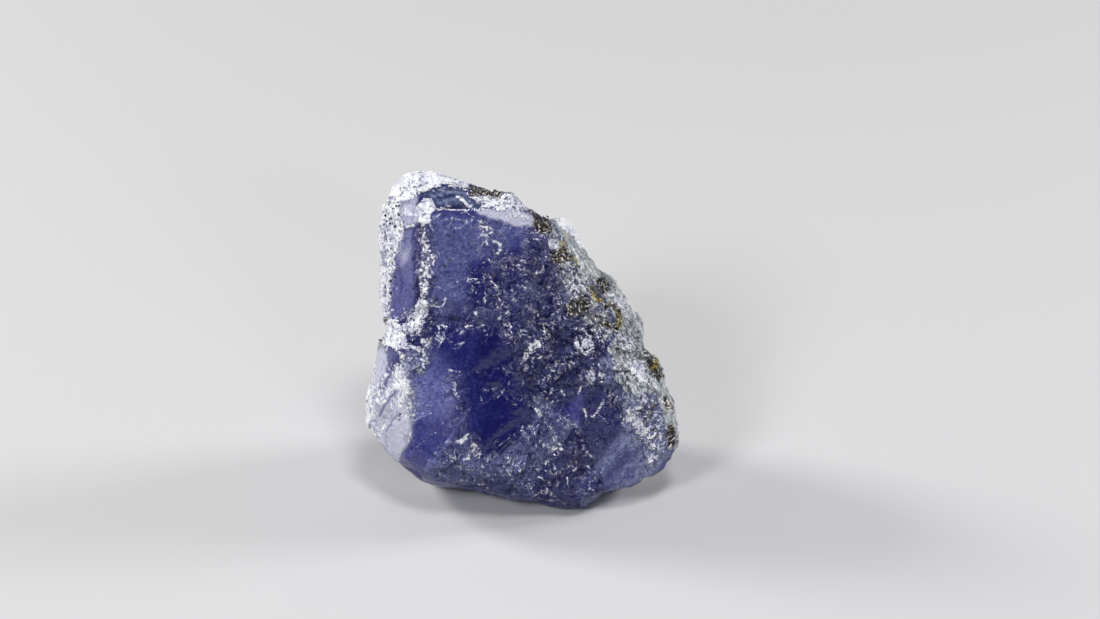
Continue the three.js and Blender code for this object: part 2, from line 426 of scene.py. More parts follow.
# Tints first, from the whole face to its details, then the crusts. A tint laid later wipes frost away.
PATCHES: tuple[Patch, ...] = (
    Zone(Tint.BLUE, ((-7, 4.5), (2.5, 8.5), (7, 2), (7.5, -4), (4, -10), (-7, -8)), 1),
    Zone(Tint.UPPER, ((-6.3, 3.2), (-6.3, 9.8), (-1, 9.4), (1.2, 8.8), (-0.6, 7.2), (-3.2, 6.2),
        (-3.6, 3.4)), 0.8),
    Zone(Tint.CORE, ((-3.4, 5.9), (-1.4, 6.6), (0.5, 7.3), (0.8, 6.2), (-1.6, 5.2), (-1, 3.2), (-0.9, 1.2),
        (0, 0), (0.6, -2), (0.7, -5), (-0.9, -6.9), (-2.2, -7.1), (-3.2, -6), (-2.2, -4), (-3, -1),
        (-2.8, 2.2), (-3.2, 4)), 0.7),
    Zone(Tint.VIOLET, ((-7.6, -1.6), (-5.6, -1), (-4.4, -3), (-4.4, -5.6), (-5, -6.6), (-6.4, -8),
        (-7.4, -9), (-8.6, -7.8), (-7.9, -6.8), (-7.4, -5)), 0.5, 0.85),
    Zone(Tint.LILAC, ((-7.6, -2.2), (-6, -1.6), (-4.8, -3.2), (-5.2, -4.8), (-6.4, -4.8), (-7.4, -4.9)),
        0.5, 0.5),
    Zone(Tint.LILAC, ((-7.3, 0.2), (-5.4, 0), (-4.6, -1.6), (-4.8, -3.8), (-6.6, -4.4), (-7.3, -3)), 0.7,
        0.45),
    Zone(Tint.PANEL, ((-8.7, 6.9), (-8.2, 8.7), (-7.2, 9.1), (-7.2, 3), (-7.6, 2.4), (-9.2, 2.2), (-9, 5)),
        0.25, relief=-0.16),
    Zone(Tint.HAZE, ((-8.3, 8.6), (-7.4, 8.8), (-7.6, 7.2), (-8.6, 6.4), (-8.6, 7.4)), 0.3, 0.45),
    Streak(Tint.BLUE, ((-7.32, 8.9), (-7.35, 7), (-7.25, 5), (-7.3, 3.4)), 0.18, 0.75),
    Streak(Tint.BLUE, ((-8.5, 5.6), (-8.2, 4.6), (-8.3, 3.6)), 0.12, 0.4),
    Zone(Tint.PALE, LEFT_EDGE, 0.35, 0.8, wrap=9),
    Zone(Tint.ASH, ((-8.3, 10.8), (-7, 11.1), (-7.15, 9.1), (-8.3, 8.8)), 0.15),
    Zone(Tint.STEEL, ((-6.8, 11.2), (-5.6, 11.7), (-4, 11.5), (-3.3, 10.9), (-2.6, 10.6), (-2.6, 10),
        (-5.7, 10.05), (-6, 10.7)), 0.1, relief=-0.3),
    Zone(Tint.NAVY, ((-5.7, 10.2), (-4.8, 10.3), (-3.9, 10.45), (-3.4, 10), (-4.6, 9.97), (-5.4, 10.05)),
        0.08),
    Streak(Tint.HAZE, ((-6, 11), (-5, 11.25), (-3.9, 11.15)), 0.1, 0.8),
    Streak(Tint.HAZE, ((-5.6, 10.6), (-4.8, 10.75), (-4.2, 10.6)), 0.1, 0.5),
    Streak(Tint.NAVY, ((-5.6, 10.95), (-4.9, 10.95), (-4.2, 10.85)), 0.08, 0.7),
    Zone(Tint.NIGHT, ((0.8, 8.4), (2.4, 7.6), (3, 6), (4.4, 5), (5.4, 3), (6.4, 1.4), (6.2, -0.6),
        (6.8, -2.4), (6, -3.6), (4.6, -4.4), (2.6, -4), (1, -5), (0.4, -3), (-0.2, -1), (-0.2, 1.6),
        (0.6, 3), (0.2, 5.4), (0.8, 6.6)), 0.7),
    Zone(Tint.DUSK, ((4.4, -3.2), (6, -2.7), (7.4, -3.4), (7.6, -5.2), (6.8, -6.4), (5.3, -8.6),
        (4.6, -9.6), (3.4, -8.4), (3, -6.8), (4.2, -5.4), (4, -4)), 0.25),
    Zone(Tint.GRANITE, ((-5.8, -6.9), (-4.6, -5.9), (-3.5, -6.2), (-2.6, -7.7), (-0.9, -6.9), (0.4, -5.6),
        (1.1, -4.6), (1.4, -3.2), (2.2, -3.6), (3.8, -5.4), (2.2, -7), (1, -9), (1.5, -11), (-2.5, -10.3),
        (-7, -9.3), (-6.4, -8)), 0.25, 0.9, relief=0.1),
    Zone(Tint.DUSK, ((1.2, -9.2), (3, -8.2), (4.2, -9.6), (5.6, -9.8), (4, -11.2), (1.4, -10.9)), 0.4, 0.6),
    Zone(Tint.CORE, ((-3.4, -9), (-1, -9.2), (0.2, -9.8), (-0.4, -10.3), (-3, -9.9)), 0.4, 0.5),
    Zone(Tint.MAUVE, ((5.8, -7), (7.4, -5.6), (8, -6.4), (8.5, -7.2), (8.5, -9), (7.7, -9.5), (6.2, -9.8),
        (5.2, -8.6)), 0.55, 0.85, relief=0.05),
    Streak(Tint.DUSK, ((6.3, -9), (7, -8.1), (7.6, -7.6)), 0.22, 0.45),
    Streak(Tint.HAZE, ((6, -8.3), (6.9, -7.2), (7.4, -6.8)), 0.16, 0.5),
    Streak(Tint.HAZE, ((6.9, -9.3), (7.7, -8.2), (8.3, -7.8)), 0.16, 0.55),
    Streak(Tint.HAZE, ((5.6, -8.2), (6.5, -6.9), (7.4, -6), (8.2, -5.2)), 0.2, 0.45),
    Zone(Tint.HAZE, ((7.2, -6.6), (7.6, -5.6), (8.8, -6), (9.8, -7.2), (9.4, -8.9), (8.3, -9.4),
        (8.3, -7.2)), 0.15, 0.85),
    Zone(Tint.VIOLET, ((3.6, -3.6), (4.4, -2.9), (4.6, -4.2), (4, -5.2), (3.5, -4.6)), 0.25, 0.8),
    Zone(Tint.VIOLET, ((4.4, -9), (5.4, -8.6), (5.2, -9.8), (4.2, -10.4)), 0.3, 0.7),
    Zone(Tint.HAZE, ((5.7, -0.5), (6.7, -0.4), (6.8, -2.6), (5.9, -2.6)), 0.2, 0.9, relief=0.08),
    Zone(Tint.HAZE, ((1.2, -3.3), (1.7, -3), (2, -4.3), (1.1, -4.6)), 0.25, 0.9),
    Zone(Tint.HAZE, ((6.9, -2.8), (10.4, -3), (10.6, -7.4), (9.8, -8.4), (8.8, -6.2), (7.6, -5.6),
        (7.3, -3.8)), 0.7, 0.85),
    Zone(Tint.HAZE, ((0.6, 4.9), (1.2, 4.9), (1.3, 4.2), (0.6, 4.2)), 0.3, 0.6),
    Zone(Tint.SLATE, ((1, 9.6), (1.9, 8.2), (2.2, 7), (2.5, 6), (3, 4.8), (3.2, 3.4), (4.4, 2.2),
        (5.6, 1.4), (7.4, 1.4), (8, 3.4), (6, 6), (3.6, 9), (2, 9.8)), 0.45, 0.85),
    Streak(Tint.HAZE, ((0.9, -8.2), (2.6, -6.4), (3.9, -5.1)), 0.3, 0.6),
    Streak(Tint.HAZE, ((4.6, -10.7), (6.4, -10.1), (8.2, -9.2), (9.6, -8.4), (10.8, -7.3)), 0.25, 0.7),
    # Frost, seams and pale facets of the upper half, the left edge and the lower left.
    Zone(Crust.FROST, ((-9.4, 11), (-8.4, 12.6), (-7, 13.2), (-4.8, 13), (-4.4, 12.2), (-5.6, 11.75),
        (-6.9, 11.3), (-7.2, 11), (-7.9, 10.6), (-8.4, 10.7)), 0.2, relief=0.12, wrap=9),
    Zone(Crust.FROST, LEFT_EDGE, 0.25, 0.66, wrap=9),
    Zone(Tint.PALE, ((-8.4, 7.1), (-7.6, 7.3), (-7.8, 6.4), (-8.4, 6)), 0.4, 0.6),
    Streak(Crust.FROST, ((-8, 8.85), (-7.4, 8.95)), 0.08, 0.9, relief=0.1),
    Zone(Crust.FROST, ((-7.2, 9.2), (-7.1, 10.2), (-6.6, 10.85), (-6.1, 10.75), (-5.75, 10.2), (-6.1, 9.7),
        (-6.1, 9), (-6.8, 8.8)), 0.2, 0.8, relief=0.36),
    Zone(Crust.FROST, ((-7, 8.9), (-6.4, 8.5), (-6.3, 7.2), (-5.8, 6.6), (-6.2, 5.8), (-6.1, 5.2),
        (-6.5, 4), (-6.9, 3.9), (-7, 5.5), (-6.8, 7.2)), 0.15, 0.32, relief=0.08),
    Streak(Crust.FROST, ((-6.65, 8.6), (-6.55, 7.4), (-6.4, 6.4), (-6.45, 5.2), (-6.7, 4.2)), 0.12, 0.56,
        relief=0.08),
    Streak(Crust.SEAM, ((-6, 10.05), (-4.4, 9.9), (-3, 9.9), (-1, 10.05)), 0.05, 0.75, relief=0.05),
    Zone(Tint.PALE, ((-3.1, 9.9), (0, 10), (1.3, 9.4), (1.5, 8.95), (0.2, 8.75), (-0.6, 8.9), (-1.2, 9.2),
        (-2.2, 9.35)), 0.12, 0.95, relief=0.16),
    Zone(Crust.FROST, ((-1.8, 9.8), (0, 9.9), (1, 9.4), (0.6, 9.1), (-0.6, 9.4)), 0.3, 0.45),
    Zone(Crust.FROST, ((-3.4, 11), (-2.8, 11.1), (-1.4, 10.9), (-0.6, 11.4), (0.4, 10.9), (1.1, 10.1),
        (-0.2, 9.9), (-2.6, 10.1)), 0.2, 0.7, relief=0.1),
    Zone(Crust.FROST, ((-5.2, 12.4), (-3.4, 12.1), (-3.6, 11.5), (-5, 11.7)), 0.2, 0.75),
    Streak(Crust.FROST, ((-4.3, 10.85), (-3.9, 10.65), (-3.7, 10.35), (-3.3, 10.25)), 0.12, 0.78),
    Zone(Crust.FROST, ((-2.8, 9.3), (-2, 9.1), (-1.9, 8.2), (-2.2, 7.6), (-2.6, 7.5), (-2.5, 8.4)), 0.25,
        0.46, relief=0.05),
    Streak(Crust.FROST, ((-1.8, 7.7), (-1.3, 7.5), (-1.2, 7.1), (-1.6, 6.8)), 0.12, 0.42, relief=0.03),
    Zone(Crust.FROST, ((-9.5, 2.5), (-8.8, 2.1), (-8, 1.75), (-7.95, 0.7), (-7.8, 0.3), (-8.6, 0),
        (-10.2, 0.4), (-10, 1.5)), 0.3, 0.8, relief=0.04),
    Streak(Crust.FROST, ((-8.2, 0.35), (-7.4, 0.25), (-6.75, 0.1)), 0.14, 0.75, relief=0.03),
    Streak(Crust.FROST, ((-6.75, 0.1), (-6.75, -0.5), (-6.7, -1.1)), 0.12, 0.62),
    Zone(Crust.FROST, ((-7.9, 2.4), (-7.3, 2.7), (-6.9, 3.9), (-6.2, 3.6), (-6.5, 2.4), (-6.9, 1.4),
        (-7.7, 1.1), (-8, 1.9)), 0.25, 0.62, relief=0.1),
    Streak(Crust.SEAM, ((-6.4, 3.3), (-5.4, 3.15), (-5.1, 3.75)), 0.07, 0.7, relief=0.03),
    Zone(Tint.GRANITE, ((-6.3, 3.1), (-4.9, 3.2), (-4.6, 3.7), (-4.2, 3), (-4.8, 2.6), (-6.2, 2.8)), 0.2,
        0.8),
    Streak(Crust.SEAM, ((-5.7, 1.75), (-5, 1.78)), 0.06, 0.75),
    Streak(Crust.SEAM, ((-5.5, 1.7), (-5.75, 0.9)), 0.06, 0.65),
    Zone(Crust.FROST, ((-7, 1.2), (-6.3, 0.9), (-5.9, 0.6), (-6.4, 0.3), (-6.9, 0.5)), 0.2, 0.5),
    Streak(Tint.NAVY, ((-4.7, 2.35), (-4.1, 2.25)), 0.12, 0.95, relief=-0.1),
    Zone(Tint.GRANITE, ((-4, 2.9), (-1.2, 3.1), (-1.2, 2.4), (-3.8, 2.3)), 0.3, 0.45),
    Zone(Crust.FROST, ((-3.2, 2.8), (-2.9, 2.8), (-2.7, 2), (-3.2, 2)), 0.18, 0.5),
    Streak(Crust.SEAM, ((-3.7, 1.7), (-3.3, 1.75)), 0.06, 0.8),
    Streak(Crust.SEAM, ((-2.5, 1.85), (-2.35, 1.55)), 0.05, 0.7),
    Streak(Crust.SEAM, ((-0.7, 1.85), (-0.5, 1.6)), 0.05, 0.8),
    Streak(Crust.SEAM, ((-2, 5.3), (-1.75, 4.8), (-1.45, 4.5)), 0.04, 0.85),
    Streak(Crust.SEAM, ((-5, -1.2), (-4.4, -1.35), (-4, -1.4)), 0.04, 0.7),
    Zone(Crust.FROST, ((-4.8, -2.1), (-4.4, -2.2), (-4.2, -3.2), (-4.6, -3)), 0.2, 0.42),
    Zone(Crust.FROST, ((-8.4, -0.1), (-7.2, 0), (-6.2, -0.4), (-6.6, -1.5), (-7.4, -1.6)), 0.5, 0.36),
    Zone(Tint.PALE, ((-11.6, 0.3), (-9.6, 0.3), (-9.2, -1.6), (-8.2, -1.2), (-7.6, -2.2), (-7.5, -4.8),
        (-7.6, -6), (-8.6, -7.9), (-10.4, -6.9), (-11.6, -4)), 0.42, 0.95, wrap=8),
    Zone(Tint.PANEL, ((-9.4, 0.2), (-8.6, 0.05), (-8.8, -0.8), (-9.2, -2), (-9.8, -3), (-9.9, -2.5),
        (-9.3, -1.2)), 0.15, 0.95),
    Zone(Tint.HAZE, ((-8.4, -0.2), (-7.2, -0.1), (-6.9, -1), (-7.8, -2), (-8.3, -1.2)), 0.25, 0.8),
    Zone(Tint.HAZE, ((-7.8, -2.6), (-7, -2.4), (-7, -4.6), (-7.6, -4.8)), 0.35, 0.7),
    # Narrow mauve streaks just below white diagonal ridges: painted shade.
    Streak(Tint.MAUVE, ((-8.7, -2.9), (-9.4, -3.8), (-9.9, -4.6)), 0.1, 0.75),
    Streak(Tint.MAUVE, ((-8.5, -4.3), (-9, -5.1), (-9.3, -5.6)), 0.08, 0.7),
    Zone(Tint.PALE, ((-9.3, -5.2), (-8.3, -4.8), (-7.6, -4.8), (-7.5, -5.6), (-8, -7), (-8.6, -7.9),
        (-10.2, -6.9), (-9.9, -6)), 0.1, relief=0.1),
    Zone(Crust.FROST, ((-11.6, 0), (-9.4, 0.1), (-9.6, -1.2), (-8.2, -0.8), (-7.4, -2), (-7.3, -4.8),
        (-8.4, -5.2), (-9.8, -6.6), (-11.6, -6)), 0.7, 0.4, wrap=8),
    Zone(Crust.FROST, ((-8.7, -0.8), (-8.1, -1), (-7.5, -2.4), (-7.7, -3.6), (-8.6, -3.8), (-9.1, -3.2)),
        0.4, 0.74, relief=0.03),
    Zone(Crust.FROST, ((-11.6, -0.8), (-10.5, -0.8), (-10.5, -3), (-10.1, -4.4), (-9.9, -6), (-11.6, -6.4)),
        0.25, 0.8, wrap=8),
    Streak(Crust.FROST, ((-8.6, -2.4), (-9.2, -3.3), (-10, -4.4)), 0.26, 0.8),
    Streak(Crust.FROST, ((-8.4, -3.8), (-9, -4.8), (-9.7, -5.8)), 0.22, 0.75),
    Zone(Crust.FROST, ((-8.4, 0), (-8, -0.1), (-8.1, -1.2), (-8.5, -1)), 0.2, 0.55),
    Zone(Tint.PALE, ((-9.6, 0.1), (-9.4, -0.3), (-9.3, -1), (-9.7, -1.7), (-10.2, -1.2), (-10, -0.4)), 0.1,
        0.85),
    # Pale bands, each with a narrow mauve line of painted shade along a diagonal ridge.
    Streak(Tint.PALE, ((-8.8, -3), (-9.5, -3.9), (-10.1, -4.8)), 0.22, 0.85),
    Streak(Tint.MAUVE, ((-8.75, -2.95), (-9.4, -3.8), (-9.95, -4.65)), 0.07, 0.8),
    Streak(Tint.PALE, ((-8.5, -4.2), (-9.1, -5.2), (-9.6, -5.9)), 0.2, 0.85),
    Streak(Tint.MAUVE, ((-8.45, -4.25), (-9, -5.15), (-9.4, -5.7)), 0.06, 0.7),
    Streak(Crust.SEAM, ((-7.5, -4.9), (-7.55, -5.5), (-7.8, -6.4)), 0.04, 0.5),
    # White breaks of the lower half, and two lilac streaks that are painted highlights.
    Zone(Crust.FROST, ((-4.4, -6.2), (-3.5, -5.8), (-3.5, -6.2), (-4, -6.5)), 0.15, 0.75, relief=0.08),
    Streak(Tint.LILAC, ((-4.9, -6.3), (-6.6, -8.4)), 0.14, 0.6),
    Streak(Tint.LILAC, ((-3.9, -4.6), (-5.4, -6.9)), 0.12, 0.5),
    Zone(Crust.FROST, ((-3.3, -6.3), (-2.9, -6.4), (-2.6, -7.2), (-2.8, -7.9), (-3.1, -7.3)), 0.2, 0.5),
    Zone(Crust.FROST, ((-3.8, -7.4), (-3.5, -7.3), (-3.5, -7.7), (-3.8, -7.7)), 0.12, 0.6),
    Streak(Crust.SEAM, ((-1.1, -8), (-0.8, -8.3), (-0.6, -8.7)), 0.04, 0.8),
    Streak(Crust.SEAM, ((0.1, -5.5), (0.4, -5.7)), 0.05, 0.85),
    Streak(Crust.SEAM, ((0.6, -9.3), (0.9, -9.7)), 0.06, 0.95),
    Streak(Crust.SEAM, ((0.9, -5.3), (1.15, -5.8)), 0.04, 0.7),
    Streak(Crust.FROST, ((1.1, -3.9), (2, -5.1), (3, -6.9), (1.4, -8.4)), 0.16, 0.3),
    Zone(Crust.FROST, ((2.1, -6.8), (2.8, -6.6), (2.6, -7.1), (2.2, -7.1)), 0.15, 0.7),
    Streak(Crust.SEAM, ((2.4, -7.9), (2.6, -8.3)), 0.04, 0.8),
    Streak(Crust.SEAM, ((1.5, -8.8), (1.9, -9.2)), 0.04, 0.7),
    Streak(Crust.SEAM, ((3.4, -9), (3.45, -9.5)), 0.04, 0.8),
    # White breaks of the right half.
    Zone(Crust.FROST, ((0.1, -0.6), (0.5, -0.9), (0.8, -0.2), (1.5, 0.3), (1.6, 0.8), (1, 0.8), (0.5, 0.2)),
        0.2, 0.5, relief=0.06),
    Streak(Crust.SEAM, ((1.1, 0.2), (1.7, 0.5)), 0.05, 0.8),
    Streak(Crust.FROST, ((4.1, 0.9), (4.2, 0.2), (4.7, -0.1), (5.2, 0.3), (5.1, 0.9), (4.5, 1.5), (4, 1.6)),
        0.13, 0.5, relief=0.08),
    Zone(Crust.FROST, ((4.5, 0.9), (5, 0.8), (4.9, 0.2), (4.5, 0.4)), 0.15, 0.75),
    Streak(Crust.FROST, ((4.9, -1.4), (4.8, -1.9), (5.3, -2.1), (5.2, -1.4)), 0.12, 0.6),
    Streak(Crust.SEAM, ((5.65, -1), (5.75, -1.8), (5.85, -2.4)), 0.04, 0.8),
    Streak(Crust.SEAM, ((4.35, -2.5), (4.2, -3)), 0.06, 0.9),
    Streak(Crust.SEAM, ((4.6, -4.1), (4.75, -4.6)), 0.06, 0.85),
    Streak(Crust.SEAM, ((5.1, -4.6), (5.6, -4.1), (6.1, -3.6)), 0.06, 0.8, relief=0.03),
    Streak(Crust.SEAM, ((1.75, 1.9), (1.8, 1.4)), 0.04, 0.8),
    Zone(Crust.FROST, ((2.2, 7.8), (2.6, 7.8), (2.7, 7.2), (2.2, 7.3)), 0.15, 0.85),
    Zone(Crust.FROST, ((3, 6.6), (3.4, 6.5), (3.4, 6.1), (3, 6.2)), 0.15, 0.7),
    Zone(Crust.FROST, ((7.4, -2.8), (10.2, -3.2), (10.7, -7.2), (9.4, -8.4), (8.8, -6.4), (7.9, -5.4)), 0.8,
        0.27),
    Zone(Crust.FROST, ((7.4, -4), (8, -4), (8.5, -4.8), (9.1, -5.1), (9.3, -6), (8.6, -6.1), (8, -5),
        (7.5, -5)), 0.25, 0.66, relief=0.05),
    Streak(Crust.SEAM, ((9, -7.3), (9.3, -6.9), (9.6, -6.5)), 0.05, 0.8),
    Zone(Crust.FROST, ((9.2, -8), (9.7, -7.8), (9.8, -6.2), (9.6, -6)), 0.25, 0.5),
    Streak(Crust.SEAM, ((9, -4.6), (9.3, -5.1)), 0.04, 0.7),
    # The grey rind of the right rim, its graphite and its iron stains.
    Zone(Crust.RIND, ((2.2, 9.4), (3.5, 9.8), (4.8, 8.4), (6.4, 6.2), (8.2, 4.4), (9.2, 1.6), (11.2, -2),
        (12, -7), (10.6, -7), (10.2, -4.2), (9.4, -3), (7.8, -3), (6.8, -2.2), (6.7, -0.6), (6.2, 0.2),
        (6.9, 1), (7.3, 2), (6.2, 3.2), (5.6, 4.8), (4.6, 5), (4, 6.2), (3.4, 7.6)), 0.25, 0.9, relief=0.06,
        wrap=5),
    Zone(Crust.RIND, ((1.6, 8.8), (2.4, 7.4), (2.8, 6), (3.2, 4.6), (3.6, 3.6), (4.6, 2.6), (6.2, 2.8),
        (5.4, 4.8), (4.2, 6.4), (3.4, 8), (2.4, 9.2)), 0.4, 0.46),
    Zone(Crust.RIND, ((4.6, 2.8), (6.2, 3), (6.8, 1.2), (6, 0.6), (4.8, 1.6)), 0.4, 0.55),
    Zone(Crust.FROST, ((2.4, 9.3), (3.6, 9.6), (4.7, 8.4), (4.8, 7.4), (4.3, 7.4), (3.8, 8.2), (3.2, 8.7)),
        0.2, relief=0.1, wrap=8),
    Zone(Crust.FROST, ((6.2, 4.2), (7.6, 4), (8.2, 2.8), (7.4, 2.2), (6.6, 3.4)), 0.3, 0.45),
    Zone(Crust.FROST, ((7.6, -0.6), (8.8, -0.8), (9.2, -1.9), (10, -2.8), (8.6, -2), (7.8, -1.6)), 0.3,
        0.55),
    Zone(Crust.FROST, ((6.9, 1.2), (7.9, 1), (8.4, 1.4), (8.2, 0), (7, 0.2)), 0.4, 0.4),
    Zone(Crust.SOOT, ((-3.6, 11.8), (-2.4, 11.8), (-1.2, 11.2), (-1.3, 10.8), (-2.5, 11), (-3.5, 11.15)),
        0.2, 0.8, wrap=1.7),
    Zone(Crust.SOOT, ((0.8, 10), (2, 9.5), (2.4, 8.8), (2.2, 8.3), (1.4, 8.2), (1, 9.2)), 0.2, 0.85,
        wrap=1.3),
    Zone(Crust.SOOT, ((2.2, 6.9), (2.6, 6.1), (3.3, 6.3), (4, 6.5), (3.9, 7), (3.3, 7.4), (2.7, 7.3)), 0.2,
        0.85, relief=-0.08),
    Zone(Crust.SOOT, ((3.3, 3.2), (4, 3.6), (4.8, 4.2), (5.2, 3.6), (5.1, 2.6), (3.4, 2.4)), 0.25, 0.8),
    Zone(Crust.SOOT, ((5.5, 5.1), (6, 5.5), (6.6, 4.8), (6.4, 4.2), (5.9, 4), (5.6, 4.3)), 0.15, 0.95,
        relief=-0.08, wrap=1.3),
    Streak(Crust.SOOT, ((6.1, 3), (6.6, 3.3), (7, 2.9), (7.1, 2.1), (6.8, 1.5), (6.2, 1.9)), 0.2, 0.8),
    Zone(Crust.SOOT, ((8.9, 0.1), (9.5, -0.3), (9.9, -0.9), (10.3, -1.8), (9.9, -2.2), (9.3, -1.4),
        (9, -0.6)), 0.12, 0.9),
    Zone(Crust.SOOT, ((10.2, -3.1), (10.6, -3.1), (11, -4.1), (10.5, -4.2), (10.3, -3.6)), 0.12, 0.9),
    Zone(Crust.SOOT, ((10.5, -5.3), (11.1, -5.3), (11.2, -6.9), (10.7, -6.9), (10.5, -6)), 0.12, 0.9),
    Zone(Crust.SOOT, ((-9.6, 2.4), (-9.2, 2.2), (-9.5, 1.2), (-9.8, 0.4), (-10.4, 0.6)), 0.3, 0.8, wrap=5),
    Zone(Crust.SOOT, ((6.6, 0.4), (7.8, 0.1), (7.9, -0.1), (7, -0.2)), 0.15, 0.6),
    Streak(Crust.SOOT, ((8.8, -4), (9.1, -4.2), (9.8, -3.9)), 0.1, 0.6),
    Zone(Crust.SOOT, ((4.6, 3.2), (6.4, 2.6), (7.2, 1.4), (6, 1.6), (5, 2.2)), 0.4, 0.42),
    Zone(Crust.RUST, ((4.95, 4.6), (5.3, 4.6), (5.9, 3.5), (5.6, 3.3), (5.2, 3.8)), 0.15, 0.74),
    Zone(Crust.RUST, ((2.95, 7.8), (3.25, 7.8), (3.35, 7.2), (3, 7.1)), 0.15, 0.62),
    Zone(Crust.RUST, ((3.85, 6.8), (4.2, 6.4), (4.2, 5.9), (3.9, 6)), 0.15, 0.62),
    Zone(Crust.RUST, ((7, 2.7), (7.35, 2.6), (7.25, 1.7), (7, 1.7)), 0.15, 0.58),
    Zone(Crust.RUST, ((9.35, -0.6), (9.8, -0.4), (9.95, -1.2), (9.4, -1.2)), 0.15, 0.66),
    Zone(Crust.RUST, ((3.2, 8.4), (3.6, 8.2), (3.5, 7.9), (3.2, 8)), 0.15, 0.4),
    # Dark specks, most of them in the white left edge.
    Zone(Crust.SPECKS, ((-9.6, 11), (-8.2, 10.9), (-8.1, 8.4), (-9.6, 8.4)), 0.3),
    Zone(Crust.SPECKS, ((-9.6, 8.4), (-8.4, 8.4), (-8.8, 4), (-9.8, 4)), 0.3, 0.7),
    Zone(Crust.SPECKS, ((-8.4, 12), (-6.4, 12.2), (-6.4, 11.3), (-7.4, 10.8), (-8.4, 11)), 0.3, 0.7),
    Zone(Crust.SPECKS, ((-6, 9.6), (-3, 9.6), (-3, 4), (-6, 4)), 0.5, 0.4),
    Zone(Crust.SPECKS, ((-8.8, -4.2), (-7.8, -4.4), (-7.9, -5.2), (-8.9, -4.9)), 0.2, 0.7),
    # Where small breaks glitter.
    Zone(Crust.GLITTER, ((0.6, 8.6), (2.4, 8), (6, 5.2), (8.2, 2.4), (9.8, -1.6), (10.4, -6.8), (9.2, -8.4),
        (7.8, -6), (6, -3), (4.4, -2.4), (1.2, -4.8), (0.2, -3), (-0.8, 0.4), (-1.8, 3.2), (-2.2, 5.6),
        (-0.8, 6.4), (0.4, 6.6)), 0.6),
    Zone(Crust.GLITTER, ((-7.2, 9), (-5.9, 9), (-5.7, 3), (-6, 0), (-6.6, -1.8), (-8, -1.8), (-8.4, 2.6),
        (-7.2, 3.4)), 0.3, 0.9),
    Zone(Crust.GLITTER, ((-5.4, -7), (-3, -5.8), (-2.4, -7.6), (0.4, -5.6), (1.2, -3.2), (3, -4.4),
        (4.8, -5.6), (5.6, -8.6), (6, -9.8), (3.6, -11), (-2, -10.2), (-6, -8.9)), 0.4, 0.8),
    Zone(Crust.GLITTER, ((5, -3), (7.4, -3.4), (7.4, -5.6), (5.2, -8.6), (4, -8.6), (3.6, -5.4)), 0.4, 0.3),
    Zone(Crust.GLITTER, ((-2.9, 9.4), (-1, 9), (-0.8, 6.6), (-2.9, 6.8)), 0.4, 0.7),
    Zone(Crust.GLITTER, ((-5.4, -1.6), (-3.8, -1.6), (-3.4, -6), (-5.2, -6)), 0.5, 0.5),
    Zone(Crust.GLITTER, ((-6.4, 4), (-3, 3.4), (-1.4, 3), (-2, 1.4), (-6.4, 1.4)), 0.5, 0.4),
)


# ---- the shapes of the breaks ---------------------------------------------------------------------


@dataclass(frozen=True)
class Cleavage:
    """A flat face, square to a direction turned and tipped from the broad face's, at a distance."""

    turn_deg: float
    tip_deg: float
    distance: float

    def cut(self) -> None:
        """Bisects the mesh in edit mode by the face and fills the cut."""
        normal = FACE.direction(self.turn_deg, self.tip_deg)
        middle = normal * self.distance + np.array(FACE.centre)
        bpy.ops.mesh.select_all(action="SELECT")
        bpy.ops.mesh.bisect(
            plane_co=tuple(middle), plane_no=tuple(normal), use_fill=True, clear_outer=True
        )


@dataclass(frozen=True)
class Ledge:
    """A step in the front skin along a line: sharp at the line and fading away to its right-hand side."""

    start: Pair
    end: Pair
    fade: float
    drop: float
    taper: Pair = (-0.3, 0.7)
    lip: float = 0.06

    def sink(self, local: np.ndarray) -> np.ndarray:
        """How far each point sinks into the stone.

        Args:
            local: Points in the face's frame.

        Returns:
            One depth a point.
        """
        line = np.subtract(self.end, self.start)
        length = float(np.hypot(*line))
        ahead = line / length
        offset = local[:, :2] - np.array(self.start)
        along = offset @ ahead
        aside = offset @ np.array((ahead[1], -ahead[0]))
        outer, inner = self.taper
        ends = smoothstep(outer, inner, along) * (1.0 - smoothstep(length - inner, length - outer, along))
        wave = 0.18 * np.sin(along * 2.1) + 0.09 * np.sin(along * 5.3 + 1.0)
        depth = smoothstep(-self.lip, self.lip, aside + wave) * (1.0 - smoothstep(0.0, self.fade, aside))
        return self.drop * ends * depth * in_front(local)


@dataclass(frozen=True)
class Ridge:
    """A rough raised line on the front skin."""

    start: Pair
    end: Pair
    half_width: float
    height: float

    def rise(self, local: np.ndarray) -> np.ndarray:
        """How far each point stands out.

        Args:
            local: Points in the face's frame.

        Returns:
            One height a point.
        """
        gap = gap_to(local[:, :2], np.array(self.start), np.array(self.end))
        crest = 1.0 - smoothstep(0.0, self.half_width, gap)
        return self.height * crest * in_front(local)


@dataclass(frozen=True)
class Bulge:
    """A place on the rim where the skin stands further out, or in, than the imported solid's."""

    turn_deg: float
    spread_deg: float
    height: float
    rim: Pair = (4.5, 8.5)

    def push(self, local: np.ndarray) -> np.ndarray:
        """How far each point moves away from the stone's centre, along the face.

        Args:
            local: Points in the face's frame.

        Returns:
            One height a point.
        """
        turn = np.degrees(np.arctan2(local[:, 1], local[:, 0]))
        gap = np.abs((turn - self.turn_deg + 180.0) % 360.0 - 180.0)
        reach = smoothstep(*self.rim, np.hypot(local[:, 0], local[:, 1]))
        return self.height * (1.0 - smoothstep(0.0, self.spread_deg, gap)) * reach


